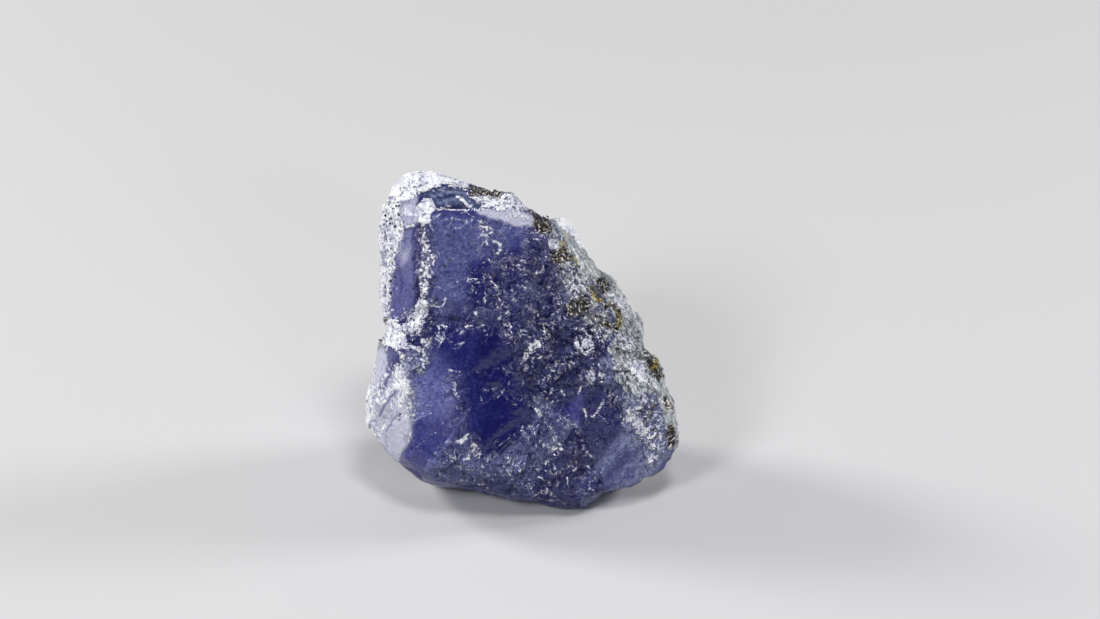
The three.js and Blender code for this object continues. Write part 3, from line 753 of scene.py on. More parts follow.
@dataclass(frozen=True)
class Pitting:
    """One size of small break: angular pits, each walled by flat facets.

    The bias is how strongly the pits keep to the broken parts of the skin, from 0 to 1. The reach and
    the floor are in sizes, a pit has 3 to 5 walls, and each may wander off its even place.
    """

    count: int
    size: Pair
    slope: Pair
    depth: float
    bias: float
    reach: float = 1.4
    floor: Pair = (0.3, 0.8)
    walls: tuple[int, int] = (3, 6)
    wander: float = 0.3

    def strike(
        self, tree: Bins, points: np.ndarray, normals: np.ndarray, busy: np.ndarray,
        draws: np.random.Generator, sunk: np.ndarray,
    ) -> None:
        """Strikes the pits of this size.

        Args:
            tree: Finds the skin's points.
            points: The skin's points.
            normals: Its broad normals.
            busy: How broken the skin is at each point.
            draws: Where the random pits come from.
            sunk: How deep each point lies, which the pits deepen.
        """
        weight = 1.0 - self.bias + self.bias * busy
        for index in draws.choice(len(points), self.count, False, weight / weight.sum()):
            size = draws.uniform(*self.size)
            reach = self.reach * size
            near = tree.near(points[index], reach)
            offset = points[near] - points[index]
            across = np.cross(normals[index], draws.normal(size=3))
            across /= np.linalg.norm(across)
            up = np.cross(normals[index], across)
            depth = np.minimum(self.depth, reach - np.linalg.norm(offset, axis=1))
            walls = draws.integers(*self.walls)
            for wall in range(walls):
                turn = 2.0 * math.pi * (wall + draws.uniform(-self.wander, self.wander)) / walls
                way = across * math.cos(turn) + up * math.sin(turn)
                slope = draws.uniform(*self.slope)
                floor = size * draws.uniform(*self.floor)
                depth = np.minimum(depth, (floor - offset @ way) * slope)
            sunk[near] = np.maximum(sunk[near], depth)


@dataclass(frozen=True)
class Faceting:
    """One size of crystal facet: the skin is split into cells, and each cell tilts its own way.

    The cells are long along a direction of the broad face, given by its angle from across it. The area
    is the skin's that they share. The limit is the most that they move it, and a warp bends their sides:
    both are in spacings.
    """

    spacing: float
    tilt: float
    step: float
    stretch: float
    grain_deg: float
    busy_share: float
    area: float = 1000.0
    limit: float = 0.35
    warp_size: float = 2.2
    warp_reach: float = 0.45

    def lift(self, local: np.ndarray, busy: np.ndarray, draws: np.random.Generator) -> np.ndarray:
        """How far each point moves in or out.

        Args:
            local: Points in the face's frame.
            busy: How broken the skin is at each point.
            draws: Where the random cells come from.

        Returns:
            One height a point.
        """
        turn = math.radians(self.grain_deg)
        cosine, sine = math.cos(turn), math.sin(turn)
        along = (local[:, 0] * cosine + local[:, 1] * sine) / self.stretch
        aside = local[:, 1] * cosine - local[:, 0] * sine
        flat = np.stack((along, aside, local[:, 2]), axis=1)
        warp = np.stack([swell(flat, self.spacing * self.warp_size, 5.0 + axis) for axis in range(3)], axis=1)
        flat = flat + warp * self.spacing * self.warp_reach
        cells = int(self.area / (self.stretch * self.spacing**2))
        seeds = flat[draws.choice(len(flat), cells, False)]
        tree = KDTree(len(seeds))
        for index, seed in enumerate(seeds):
            tree.insert(Vector(seed), index)
        tree.balance()
        nearest = np.array([tree.find(Vector(row))[1] for row in flat])
        tilts = draws.normal(size=(cells, 3)) * self.tilt
        steps = draws.uniform(-1.0, 1.0, cells) * self.step
        height = np.einsum("ij,ij->i", flat - seeds[nearest], tilts[nearest]) + steps[nearest]
        limit = self.limit * self.spacing
        share = 1.0 - self.busy_share + self.busy_share * busy
        return np.clip(height, -limit, limit) * share


@dataclass(frozen=True)
class Roughening:
    """One procedural pattern that moves the skin in and out, everywhere or where a vertex group says."""

    name: str
    pattern: str
    size: float
    strength: float
    group: str = ""

    def apply(self, piece: bpy.types.Object) -> None:
        """Displaces the piece by the pattern.

        Args:
            piece: The active object.
        """
        texture = bpy.data.textures.new(self.name, self.pattern)
        texture.noise_scale = self.size
        modify(
            piece, self.name, "DISPLACE", texture=texture, texture_coords="LOCAL",
            strength=self.strength, mid_level=0.5, vertex_group=self.group,
        )


@dataclass
class Stone:
    """The tanzanite itself: its sizes and the making of its skin."""

    skin_voxel: float = 0.078
    seed: int = 11
    cleavages: tuple[Cleavage, ...] = (
        Cleavage(3, 5, 5.8),
        Cleavage(-2, -8, 5.3),
        Cleavage(-46, 5, 8.95),
        Cleavage(-48, -12, 9.35),
        Cleavage(-20, 45, 11.4),
        Cleavage(6, 52, 10.6),
        Cleavage(28, 12, 6.3),
        Cleavage(60, 30, 7.5),
        Cleavage(16, -18, 6.4),
        Cleavage(40, -25, 9.8),
        Cleavage(-6, -48, 8.95),
        Cleavage(180, 28, 5.95),
        Cleavage(-130, 12, 8.95),
        Cleavage(132, 14, 7.7),
        Cleavage(175, -5, 7.7),
        Cleavage(150, -20, 9.2),
        Cleavage(-150, -24, 9.4),
        Cleavage(104, 16, 9.0),
    )
    ledges: tuple[Ledge, ...] = (
        Ledge((-6.5, 2.3), (0.4, 2.15), 2.0, 0.2),
        Ledge((0.8, -5.0), (-2.6, -7.9), 1.4, 0.2),
        Ledge((4.0, -5.6), (1.0, -8.9), 1.2, 0.2),
        Ledge((8.1, -5.4), (5.2, -8.7), 1.2, 0.10),
        Ledge((0.7, 9.95), (-6.0, 9.95), 1.0, 0.3),
        Ledge((-7.2, 3.0), (-7.2, 9.1), 0.8, 0.18),
        Ledge((-7.8, -7.2), (-7.4, -2.6), 1.0, 0.14),
        Ledge((-1.2, 4.8), (1.2, 7.0), 1.4, 0.14),
        Ledge((2.6, -1.8), (5.8, 0.2), 1.2, 0.16),
        Ledge((6.2, -3.6), (4.6, -5.0), 1.0, 0.16),
    )
    ridges: tuple[Ridge, ...] = (
        Ridge((-6.7, 8.8), (-6.4, 4.0), 0.4, 0.16),
        Ridge((-6.0, 10.0), (0.4, 10.0), 0.2, 0.06),
        Ridge((4.1, 0.4), (5.1, 0.5), 0.7, 0.22),
        Ridge((0.3, -0.7), (1.4, 0.6), 0.4, 0.14),
    )
    pittings: tuple[Pitting, ...] = (
        Pitting(90, (0.9, 2.2), (0.10, 0.45), 0.22, 0.5),
        Pitting(520, (0.35, 0.9), (0.15, 0.8), 0.16, 0.8),
        Pitting(1800, (0.18, 0.42), (0.25, 1.1), 0.10, 1.0),
    )
    facetings: tuple[Faceting, ...] = (
        Faceting(2.6, 0.05, 0.02, 1.6, 80.0, 0.5),
        Faceting(1.1, 0.13, 0.04, 1.7, 48.0, 0.85),
        Faceting(0.48, 0.22, 0.025, 1.4, 20.0, 0.93),
    )
    bulges: tuple[Bulge, ...] = (
        Bulge(125, 19, 0.58),
        Bulge(111, 7, -0.14),
        Bulge(148, 9, -0.24),
        Bulge(163, 7, 0.16),
        Bulge(101, 8, -0.12),
        Bulge(84, 10, -0.12),
        Bulge(70, 6, 0.16),
        Bulge(50, 16, -0.12),
        Bulge(24, 10, -0.06),
        Bulge(1, 11, -0.44),
        Bulge(341, 7, 0.28),
        Bulge(322, 14, 0.34),
        Bulge(309, 5, 0.12),
        Bulge(281, 7, 0.28),
        Bulge(261, 6, -0.15),
        Bulge(236, 12, 0.08),
        Bulge(200, 8, 0.18),
        Bulge(330, 2.0, -0.16),
        Bulge(323, 2.0, -0.14),
        Bulge(315, 2.2, -0.16),
        Bulge(308, 1.8, -0.12),
        Bulge(301, 2.0, -0.14),
    )
    roughenings: tuple[Roughening, ...] = (
        Roughening("swells", "CLOUDS", 1.1, 0.08),
        Roughening("lumps", "CLOUDS", 0.40, 0.16, CRUSTED),
        Roughening("grains", "CLOUDS", 0.34, 0.05, BROKEN),
        Roughening("etching", "STUCCI", 0.22, 0.015),
    )
    faces_kept: int = 194_000
    front_out: float = 0.5
    front_share: float = 0.12
    smooth_deg: float = 38.0
    back_strength: float = 0.8
    merge_gap: float = 0.001
    flank_left: Pair = (7.6, 8.8)
    flank_up: Pair = (1.5, 3.0)
    flank_rounds: int = 30
    jut: Pair = (0.004, 0.05)

    def __post_init__(self) -> None:
        """Starts with no mesh and its own seeded draws."""
        self.piece: bpy.types.Object | None = None
        self.draws = np.random.default_rng(self.seed)

    def build(self) -> bpy.types.Object:
        """Makes the whole stone and puts it in the frame.

        Returns:
            The finished piece, in metres.
        """
        self.copy_solid()
        self.cut_faces()
        self.remesh()
        self.shape_front()
        self.split_facets()
        self.strike_pits()
        self.weather()
        self.thin_out()
        self.seat()
        self.mark_finishes()
        self.piece.data.transform(Matrix.Scale(MM, 4))
        self.piece.data.update()
        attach(self.piece, "root")
        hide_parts(NODE)
        return self.piece

    def copy_solid(self) -> None:
        """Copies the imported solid, in millimetres, with its loose triangles merged."""
        bpy.ops.object.select_all(action="DESELECT")
        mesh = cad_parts[NODE].data.copy()
        mesh.materials.clear()
        mesh.transform(Matrix.Scale(1.0 / MM, 4))
        mesh.name = PIECE
        self.piece = bpy.data.objects.new(PIECE, mesh)
        bpy.context.scene.collection.objects.link(self.piece)
        self.piece.select_set(True)
        bpy.context.view_layer.objects.active = self.piece
        bpy.ops.object.mode_set(mode="EDIT")
        bpy.ops.mesh.select_all(action="SELECT")
        bpy.ops.mesh.remove_doubles(threshold=self.merge_gap)
        bpy.ops.mesh.customdata_custom_splitnormals_clear()
        bpy.ops.object.mode_set(mode="OBJECT")

    def cut_faces(self) -> None:
        """Cuts the flat faces into the copy."""
        bpy.ops.object.mode_set(mode="EDIT")
        for cleavage in self.cleavages:
            cleavage.cut()
        bpy.ops.object.mode_set(mode="OBJECT")

    def remesh(self) -> None:
        """Rebuilds the mesh as one even closed skin."""
        modify(self.piece, "even", "REMESH", mode="VOXEL", voxel_size=self.skin_voxel)

    def shape_front(self) -> None:
        """Pushes the rim out and in, softens the left flank, and steps the front skin."""
        skin = Skin(self.piece)
        points = skin.blur(skin.points(), 2)
        local = FACE.local(points)
        outward = local * (1.0, 1.0, 0.0)
        outward /= np.maximum(np.linalg.norm(outward, axis=1), 0.1)[:, None]
        grown = sum(bulge.push(local) for bulge in self.bulges)
        points += (outward * grown[:, None]) @ FACE.axes()
        flank = smoothstep(*self.flank_left, -local[:, 0]) * smoothstep(*self.flank_up, local[:, 1])
        points += (skin.blur(points, self.flank_rounds) - points) * flank[:, None]
        skin.move_to(points)
        local = FACE.ragged(points)
        normals = skin.blur(skin.normals(), 6)
        lift = sum(ridge.rise(local) for ridge in self.ridges)
        lift *= 1.0 + 0.6 * swell(points, 0.45, 3.0)
        lift -= sum(ledge.sink(local) for ledge in self.ledges)
        lift += sum(patch.cover(local) * patch.relief for patch in PATCHES if patch.relief)
        skin.move_to(points + normals * lift[:, None])

    def split_facets(self) -> None:
        """Splits the skin into tilted facets of several sizes."""
        skin = Skin(self.piece)
        points = skin.points()
        local = FACE.local(points)
        busy = self.busyness(points)
        lift = sum(faceting.lift(local, busy, self.draws) for faceting in self.facetings)
        skin.move_to(points + skin.broad_normals() * lift[:, None])

    def strike_pits(self) -> None:
        """Strikes angular pits into the skin, most of them where it glitters."""
        skin = Skin(self.piece)
        points = skin.points()
        normals = skin.broad_normals()
        busy = self.busyness(points)
        tree = Bins(points)
        sunk = np.zeros(len(points))
        for pitting in self.pittings:
            pitting.strike(tree, points, normals, busy, self.draws, sunk)
        skin.move_to(points - normals * sunk[:, None])

    def busyness(self, points: np.ndarray) -> np.ndarray:
        """How broken the skin is at each point, from 0 to 1.

        Args:
            points: Points of the part's frame.

        Returns:
            One value a point.
        """
        local = FACE.local(points)
        busy = np.zeros(len(points))
        for patch in PATCHES:
            if patch.finish in BROKENNESS:
                busy = np.maximum(busy, BROKENNESS[patch.finish] * patch.cover(local))
        return np.maximum(busy, behind(local) * (0.55 + 0.45 * swell(points, 4.0, 9.0)))

    def weather(self) -> None:
        """Roughens the skin with displacements, stronger where it is broken or crusted."""
        points = Skin(self.piece).points()
        local = FACE.local(points)
        frosts = [patch.cover(local) for patch in PATCHES if patch.finish is Crust.FROST]
        self.grade(BROKEN, self.busyness(points))
        self.grade(CRUSTED, np.max(frosts, axis=0))
        for roughening in self.roughenings:
            roughening.apply(self.piece)

    def grade(self, name: str, values: np.ndarray, steps: int = 8) -> None:
        """Makes a vertex group whose strength rises in steps.

        Args:
            name: The group's name.
            values: Each point's strength, from 0 to 1.
            steps: How many steps there are.
        """
        group = self.piece.vertex_groups.new(name=name)
        for level in range(1, steps + 1):
            members = np.flatnonzero(np.ceil(values * steps) == level)
            group.add(members.tolist(), level / steps, "REPLACE")

    def thin_out(self) -> None:
        """Drops points from the flat facets, so that the piece stays light."""
        triangles = sum(len(face.vertices) - 2 for face in self.piece.data.polygons)
        out = FACE.local(Skin(self.piece).points())[:, 2]
        group = self.piece.vertex_groups.new(name=BACK)
        group.add(np.flatnonzero(out < self.front_out).tolist(), 1.0, "REPLACE")
        group.add(np.flatnonzero(out >= self.front_out).tolist(), self.front_share, "REPLACE")
        ratio = min(1.0, self.faces_kept / triangles)
        modify(
            self.piece, "light", "DECIMATE", ratio=ratio, vertex_group=BACK, use_collapse_triangulate=True
        )

    def seat(self) -> None:
        """Grinds the flat spot level on the ground and softens the shading between small facets."""
        skin = Skin(self.piece)
        points = skin.points()
        points[:, 2] = np.maximum(points[:, 2], 0.0)
        skin.move_to(points)
        bpy.ops.object.shade_smooth_by_angle(angle=math.radians(self.smooth_deg))

    def mark_finishes(self) -> None:
        """Stores, point by point, the skin's tint and how strongly each crust covers it."""
        skin = Skin(self.piece)
        points = skin.points()
        local = FACE.ragged(points)
        back = behind(local)
        broad = 0.5 + 0.5 * swell(points, 4.5, 21.0)
        fine = 0.5 + 0.5 * swell(points, 2.0, 33.0)
        covers = {crust: np.zeros(len(points)) for crust in Crust}
        for crust, low, high, drift in (
            (Crust.FROST, 0.56, 0.70, broad),
            (Crust.RIND, 0.58, 0.72, fine),
            (Crust.SOOT, 0.62, 0.80, 0.5 * broad + 0.5 * fine),
        ):
            covers[crust] = back * smoothstep(low, high, drift) * self.back_strength
        tint = np.tile(Tint.BLUE.row(), (len(points), 1))
        for shade, low, high, drift in (
            (Tint.UPPER, 0.4, 0.7, fine),
            (Tint.VIOLET, 0.5, 0.35, broad),
            (Tint.HAZE, 0.5, 0.3, fine),
        ):
            wash(tint, shade.row(), back * smoothstep(low, high, drift))
        for patch in PATCHES:
            cover = patch.cover(local)
            if isinstance(patch.finish, Tint):
                wash(tint, patch.finish.row(), cover)
                covers[Crust.FROST] *= 1.0 - cover
            else:
                covers[patch.finish] = np.maximum(covers[patch.finish], cover)
        side = 1.0 - smoothstep(-0.5, 2.0, local[:, 2])
        covers[Crust.SOOT] *= 1.0 - side * smoothstep(-0.1, 0.14, swell(points, 0.8, 90.0))
        covers[Crust.GLITTER] = self.busyness(points)
        for crust, values in covers.items():
            skin.store(crust.value, np.clip(values, 0.0, 1.0))
        for name, column in zip((*CHANNELS, "clear", "grainy"), tint.T):
            skin.store(name, column)
        # How far the skin juts out: frost reaches onto such edges, and the frost there is painted lighter.
        skin.store("wear_and_edge_light", self.jutting(skin))

    def jutting(self, skin: Skin) -> np.ndarray:
        """How sharply the skin juts out at each point, from 0 to 1.

        Args:
            skin: The skin whose points are measured.

        Returns:
            One value a point.
        """
        points = skin.points()
        jut = np.einsum("ij,ij->i", points - skin.blur(points, 5), skin.blur(skin.normals(), 2))
        return smoothstep(*self.jut, jut)


# ---- shading --------------------------------------------------------------------------------------


class Value:
    """A number that varies over a surface: one output socket, with the arithmetic for it."""

    def __init__(self, net: "Net", socket: bpy.types.NodeSocket) -> None:
        """Wraps a socket of a net's node."""
        self.net = net
        self.socket = socket

    def beside(self, output: str) -> "Value":
        """Another output of the same node."""
        return Value(self.net, self.socket.node.outputs[output])

    def _maths(self, operation: str, *terms: "Value | float") -> "Value":
        """Adds one Math node."""
        sockets = dict(enumerate(terms))
        return self.net.add("ShaderNodeMath", {"operation": operation}, sockets)

    def __add__(self, other: "Value | float") -> "Value":
        """Adds."""
        return self._maths("ADD", self, other)

    def __radd__(self, other: float) -> "Value":
        """Adds, the number first."""
        return self._maths("ADD", other, self)

    def __sub__(self, other: "Value | float") -> "Value":
        """Subtracts."""
        return self._maths("SUBTRACT", self, other)

    def __rsub__(self, other: float) -> "Value":
        """Subtracts from a number."""
        return self._maths("SUBTRACT", other, self)

    def __mul__(self, other: "Value | float") -> "Value":
        """Multiplies."""
        return self._maths("MULTIPLY", self, other)

    def __rmul__(self, other: float) -> "Value":
        """Multiplies, the number first."""
        return self._maths("MULTIPLY", other, self)

    def __abs__(self) -> "Value":
        """Drops the sign."""
        return self._maths("ABSOLUTE", self)

    def __or__(self, other: "Value | float") -> "Value":
        """The larger of the two."""
        return self._maths("MAXIMUM", self, other)

    def between(self, low: float, high: float) -> "Value":
        """Rises softly from 0 at low to 1 at high, or falls where low is the larger."""
        settings = {"interpolation_type": "SMOOTHSTEP"}
        sockets = {"Value": self, "From Min": low, "From Max": high}
        return self.net.add("ShaderNodeMapRange", settings, sockets)


class Net:
    """The node tree of one material."""

    def __init__(self, name: str) -> None:
        """Starts an empty material."""
        self.material = bpy.data.materials.new(name)
        self.material.use_nodes = True
        self.tree = self.material.node_tree
        self.tree.nodes.clear()

    def add(
        self,
        kind: str,
        settings: dict[str, Any] | None = None,
        sockets: dict[Any, Any] | None = None,
        output: str | int = 0,
    ) -> Value:
        """Adds one node.

        Args:
            kind: The node's type.
            settings: Its properties, set first.
            sockets: The values or links of its inputs, by name or index.
            output: Which output to give back.

        Returns:
            The output, ready for more arithmetic.
        """
        node = self.tree.nodes.new(kind)
        for name, setting in (settings or {}).items():
            setattr(node, name, setting)
        for name, given in (sockets or {}).items():
            if isinstance(given, Value):
                self.tree.links.new(given.socket, node.inputs[name])
            else:
                node.inputs[name].default_value = given
        return Value(self, node.outputs[output]) if node.outputs else Value(self, None)

    def millimetres(self) -> Value:
        """The point on the piece, in millimetres."""
        place = self.add("ShaderNodeTexCoord", output="Object")
        scale = {"Vector": place, "Scale": (1.0 / MM,) * 3}
        return self.add("ShaderNodeMapping", None, scale)

    def stored(self, name: str) -> Value:
        """A number stored on the mesh."""
        settings = {"attribute_type": "GEOMETRY", "attribute_name": name}
        return self.add("ShaderNodeAttribute", settings, output="Fac")

    def noise(self, place: Value, scale: float, detail: float = 3.0, twist: float = 0.0) -> Value:
        """Cloudy noise, about 0.5 on average."""
        sockets = {"Vector": place, "Scale": scale, "Detail": detail, "Distortion": twist}
        return self.add("ShaderNodeTexNoise", None, sockets)

    def cells(self, place: Value, scale: float) -> Value:
        """A random colour for each cell of a split-up space."""
        sockets = {"Vector": place, "Scale": scale}
        return self.add("ShaderNodeTexVoronoi", {"feature": "F1"}, sockets, "Color")

    def cell_edges(self, place: Value, scale: float) -> Value:
        """How far the nearest border between two cells is, in cells."""
        settings = {"feature": "DISTANCE_TO_EDGE"}
        return self.add("ShaderNodeTexVoronoi", settings, {"Vector": place, "Scale": scale})

    def part(self, colour: Value, index: int) -> Value:
        """One of the three numbers of a colour."""
        return self.add("ShaderNodeSeparateColor", None, {"Color": colour}, index)

    def vector(self, operation: str, *terms: Any, **named: Any) -> Value:
        """Adds one Vector Math node."""
        sockets = {**dict(enumerate(terms)), **named}
        return self.add("ShaderNodeVectorMath", {"operation": operation}, sockets)

    def bend(self, place: Value, scale: float, reach: float) -> Value:
        """Moves points by cloudy noise, so that patterns there curve.

        Args:
            place: The points.
            scale: How fine the noise is.
            reach: How far it may move them, side to side.

        Returns:
            The moved points.
        """
        sockets = {"Vector": place, "Scale": scale, "Detail": 2.0}
        cloud = self.add("ShaderNodeTexNoise", None, sockets, "Color")
        shift = self.vector("SUBTRACT", cloud, (0.5, 0.5, 0.5))
        return self.vector("ADD", place, self.vector("SCALE", shift, Scale=reach))

    def tilt(self, cells: Value, amount: Value | float, normal: Value | None = None) -> Value:
        """Tilts the surface's normal a different way in each cell.

        Args:
            cells: The cells' random colours.
            amount: How far to tilt.
            normal: The normal to tilt, or nothing for the surface's own.

        Returns:
            The tilted normal.
        """
        start = normal or self.add("ShaderNodeNewGeometry", output="Normal")
        way = self.vector("SUBTRACT", cells, (0.5, 0.5, 0.5))
        moved = self.vector("ADD", start, self.vector("SCALE", way, Scale=amount * 2.0))
        return self.vector("NORMALIZE", moved)

    def blend(self, share: Value | float, first: Any, second: Any) -> Value:
        """Mixes two colours, each a value or three numbers. A Mix node's colours come after its numbers."""
        first, second = (c if isinstance(c, Value) else (*c, 1.0) for c in (first, second))
        return self.add("ShaderNodeMix", {"data_type": "RGBA"}, {0: share, 6: first, 7: second}, 2)

    def finished(self, surface: Value, volume: Value | None = None) -> bpy.types.Material:
        """Ends the material with its surface and, where it has one, its volume."""
        ends = {"Surface": surface} if volume is None else {"Surface": surface, "Volume": volume}
        self.add("ShaderNodeOutputMaterial", None, ends)
        return self.material


@dataclass(frozen=True)
class Zoisite:
    """The finish: see-through violet-blue crystal under a skin of frost, haze, graphite and iron stain, with
    highlights and shade painted into some of its colours.
    """

    ior: float = 1.69
    specular: float = 0.12
    body: Triple = (0.93, 0.94, 1.0)
    absorbed: Triple = (0.17, 0.10, 0.72)
    absorption: float = 300.0
    deep_share: Triple = (0.20, 0.21, 0.46)
    bright_share: Triple = (1.6, 1.6, 1.4)
    bright_lift: Triple = (0.07, 0.075, 0.14)
    # The crystal's lighter clouds, partly painted light on its facets, and the painted shadow beside its
    # small breaks.
    lit: Triple = (0.210, 0.230, 0.540)
    painted_break_shadow: Triple = (0.004, 0.005, 0.040)
    frost: Triple = (0.850, 0.855, 0.885)
    # The hoar is a lavender haze, and the frost also takes its colour as painted shade; the shade and the
    # pits below are painted shade in the frost's low places.
    hoar: Triple = (0.430, 0.440, 0.610)
    shade: Triple = (0.330, 0.340, 0.470)
    painted_pit_shade: Triple = (0.030, 0.032, 0.070)
    rind: Triple = (0.370, 0.400, 0.410)
    # Painted highlights on the rind's ridges and painted shade in its creases; the shade colour also greys
    # the graphite in places.
    painted_ridge_highlight: Triple = (0.860, 0.890, 0.890)
    rind_shade: Triple = (0.075, 0.085, 0.120)
    soot: Triple = (0.010, 0.009, 0.008)
    soot_brown: Triple = (0.110, 0.080, 0.045)
    rust: Triple = (0.350, 0.300, 0.085)
    rust_brown: Triple = (0.110, 0.065, 0.020)
    # Painted highlights: brassy ones on the iron stain, light ones on the graphite and white ones on small
    # breaks.
    painted_brass_glint: Triple = (0.820, 0.760, 0.420)
    glitter: Triple = (0.930, 0.890, 0.860)
    painted_glint: Triple = (0.900, 0.910, 0.980)
    stroke_draw: Triple = (1.4, 7.5, 7.5)
    fibre_draw: Triple = (0.6, 4.2, 4.2)
    fibre_turn_deg: Triple = (-60.0, 0.0, 60.0)


class Dressing:
    """Mixes the stone's material from its finish, shared patterns and the numbers stored on its mesh.

    The patterns that break borders up are about 0 on average. Those that pick out spots run from 0 to 1.
    """

    def __init__(self, finish: Zoisite) -> None:
        """Starts the material and the patterns that several of its parts use.

        Args:
            finish: The colours and optical numbers.
        """
        self.finish = finish
        self.net = net = Net("zoisite")
        self.place = place = net.millimetres()
        self.busy = net.stored("glitter")
        self.wear_and_edge_light = net.stored("wear_and_edge_light")
        self.grainy = net.stored("grainy")
        self.clear = net.stored("clear")
        bent = net.bend(place, 1.3, 0.6)
        self.large = net.cells(bent, 2.0)
        self.small = net.cells(bent, 6.0)
        self.seams = net.cell_edges(bent, 2.0)
        # One random number a cell, of the same large and small cells that tilt the normals. In the crystal,
        # the frost and the rind it paints light and shade on the facets; in the graphite and iron stain it is
        # plain mottle, and it also breaks crust edges up.
        self.facet_mottle_and_shade = net.part(self.large, 0) - 0.5
        self.small_facet_mottle_and_shade = net.part(self.small, 0) - 0.5
        drawn = self.drawn()
        self.shards = net.cells(net.bend(drawn, 1.1, 1.0), 1.35)
        self.strand = (net.noise(drawn, 1.0, 3.0, 0.9) - 0.5) * 2.6
        self.mottle = net.noise(place, 1.1, 3.0)
        self.medium = net.noise(place, 3.5, 4.0, 0.8)
        self.fine = net.noise(place, 9.0, 3.0)
        self.curl = net.noise(place, 4.0, 1.0, 1.4) - 0.5
        self.broken = net.noise(place, 3.0, 2.0).between(0.55, 0.59)
        self.patchy = net.noise(place, 0.9, 4.0).between(0.42, 0.58)
        grit = (net.noise(place, 8.5, 2.0) - 0.5) * 1.2
        self.speckle = grit + (net.part(net.cells(place, 8.5), 0) - 0.5) * 0.7 + self.small_facet_mottle_and_shade * 0.5
        clouds = (self.medium - 0.5) * 1.4 + (self.fine - 0.5) * 0.8
        self.tone = clouds + self.strand * (self.busy * 0.7 + 0.5) + self.small_facet_mottle_and_shade * 0.5
        # Where the graphite and the iron stain get painted flashes of highlight.
        self.painted_flash = self.strand.between(0.20, 0.36) | (self.tone + self.speckle * 0.4).between(0.56, 0.72)

    def material(self) -> bpy.types.Material:
        """Lays the crusts and the painted highlights over the crystal, and mixes the clear body with its
        opaque skin.

        Returns:
            The material.
        """
        net, finish = self.net, self.finish
        ragged = (self.medium - 0.5) * 2.6 + (self.fine - 0.5) * 1.4 + self.strand * 0.5 + self.small_facet_mottle_and_shade * 0.3
        frost = self.patches("frost", ragged + self.wear_and_edge_light * 0.2, 0.46, 0.56)
        hoar = self.patches("frost", ragged * 0.6, 0.16, 0.60)
        seam = self.patches("seam", (self.fine - 0.5) * 3.4 + self.strand * 1.1, 0.44, 0.60)
        rind = self.patches("rind", ragged * 0.7, 0.34, 0.55)
        soot = self.patches("soot", ragged * 0.8, 0.40, 0.50)
        rust = self.patches("rust", ragged * 1.2, 0.42, 0.56)
        specks, painted_glint = self.specks(), self.painted_glints()

        colour = net.blend(rind * 0.92, self.crystal(), self.bark())
        # Painted highlights of small breaks, laid into the colour.
        colour = net.blend(painted_glint, colour, finish.painted_glint)
        colour = net.blend(hoar * 0.75, colour, finish.hoar)
        colour = net.blend(frost | seam, colour, self.snow())
        colour = net.blend(soot, colour, self.coal())
        colour = net.blend(rust, colour, self.gold())
        colour = net.blend(specks, colour, finish.soot)

        crust = (frost | seam) * 0.97 | hoar * 0.7 | soot | rust * 0.95 | rind * 0.9 | specks
        opaque = (1.0 - self.clear) | crust | painted_glint * 0.9
        dull = (frost | rind * 0.7) | (0.45 - self.clear) * 1.2
        roughness = 0.06 + self.fine * 0.08 + (dull | 0.08) * 0.45
        common = {"Roughness": roughness, "IOR": finish.ior, "Normal": self.normal(frost, specks)}
        through = {"Base Color": (*finish.body, 1.0), "Transmission Weight": 1.0, **common}
        covered = {"Base Color": colour, "Specular IOR Level": finish.specular, **common}
        body = net.add("ShaderNodeBsdfPrincipled", None, through)
        skin = net.add("ShaderNodeBsdfPrincipled", None, covered)
        surface = net.add("ShaderNodeMixShader", None, {0: opaque, 1: body, 2: skin})
        absorbing = {"Color": (*finish.absorbed, 1.0), "Density": finish.absorption}
        return net.finished(surface, net.add("ShaderNodeVolumeAbsorption", None, absorbing))

    def patches(self, crust: str, ragged: Value, low: float, high: float) -> Value:
        """How much of a crust there is, with a ragged edge between a low and a high level of cover."""
        cover = self.net.stored(crust)
        return (cover + ragged).between(low, high) * cover.between(0.03, 0.25)

    def drawn(self) -> Value:
        """Draws space out, so that patterns in it are strokes that turn from one small break to the next.

        Returns:
            The point in the drawn-out space.
        """
        net = self.net
        patch = net.cells(net.bend(self.place, 1.6, 0.5), 0.85)
        outward = tuple(FACE.direction(0.0, 0.0))
        turning = {"Vector": self.place, "Axis": outward, "Angle": net.part(patch, 2) * math.pi}
        turned = net.add("ShaderNodeVectorRotate", {"rotation_type": "AXIS_ANGLE"}, turning)
        return net.vector("MULTIPLY", turned, self.finish.stroke_draw)

    def dots(self, scale: float, radius: Pair, part: int, rarity: Pair) -> Value:
        """Round dots in those cells of a split-up space whose random number passes the rarity."""
        cell = self.net.add("ShaderNodeTexVoronoi", None, {"Vector": self.place, "Scale": scale})
        return cell.between(*radius) * self.net.part(cell.beside("Color"), part).between(*rarity)

    def specks(self) -> Value:
        """Small round dark specks of two sizes, the smaller only where they are crowded.

        Returns:
            1 in a speck and 0 elsewhere.
        """
        amount = self.net.stored("specks")
        crowded = self.dots(4.3, (0.36, 0.28), 1, (0.52, 0.58)) * amount.between(0.45, 0.8)
        return (self.dots(2.9, (0.31, 0.25), 0, (0.50, 0.56)) | crowded) * amount.between(0.2, 0.5)

    def painted_glints(self) -> Value:
        """Painted highlights: sparks, bent strokes and bright rims of small breaks, in patches where the skin
        is broken.

        Returns:
            1 where a highlight is painted and 0 elsewhere.
        """
        jagged = (self.strand + self.speckle * 0.5).between(-0.15, 0.15)
        sparks = self.net.part(self.shards, 1).between(0.91, 0.95) * jagged
        rims = self.seams.between(0.055, 0.025) * self.net.part(self.large, 1).between(0.55, 0.60)
        strokes = (abs(self.curl).between(0.034, 0.020) | rims) * self.broken
        strokes = strokes | self.strand.between(0.43, 0.53)
        return (sparks | strokes) * self.busy.between(0.15, 0.8) * (self.patchy * 0.92 + 0.08)

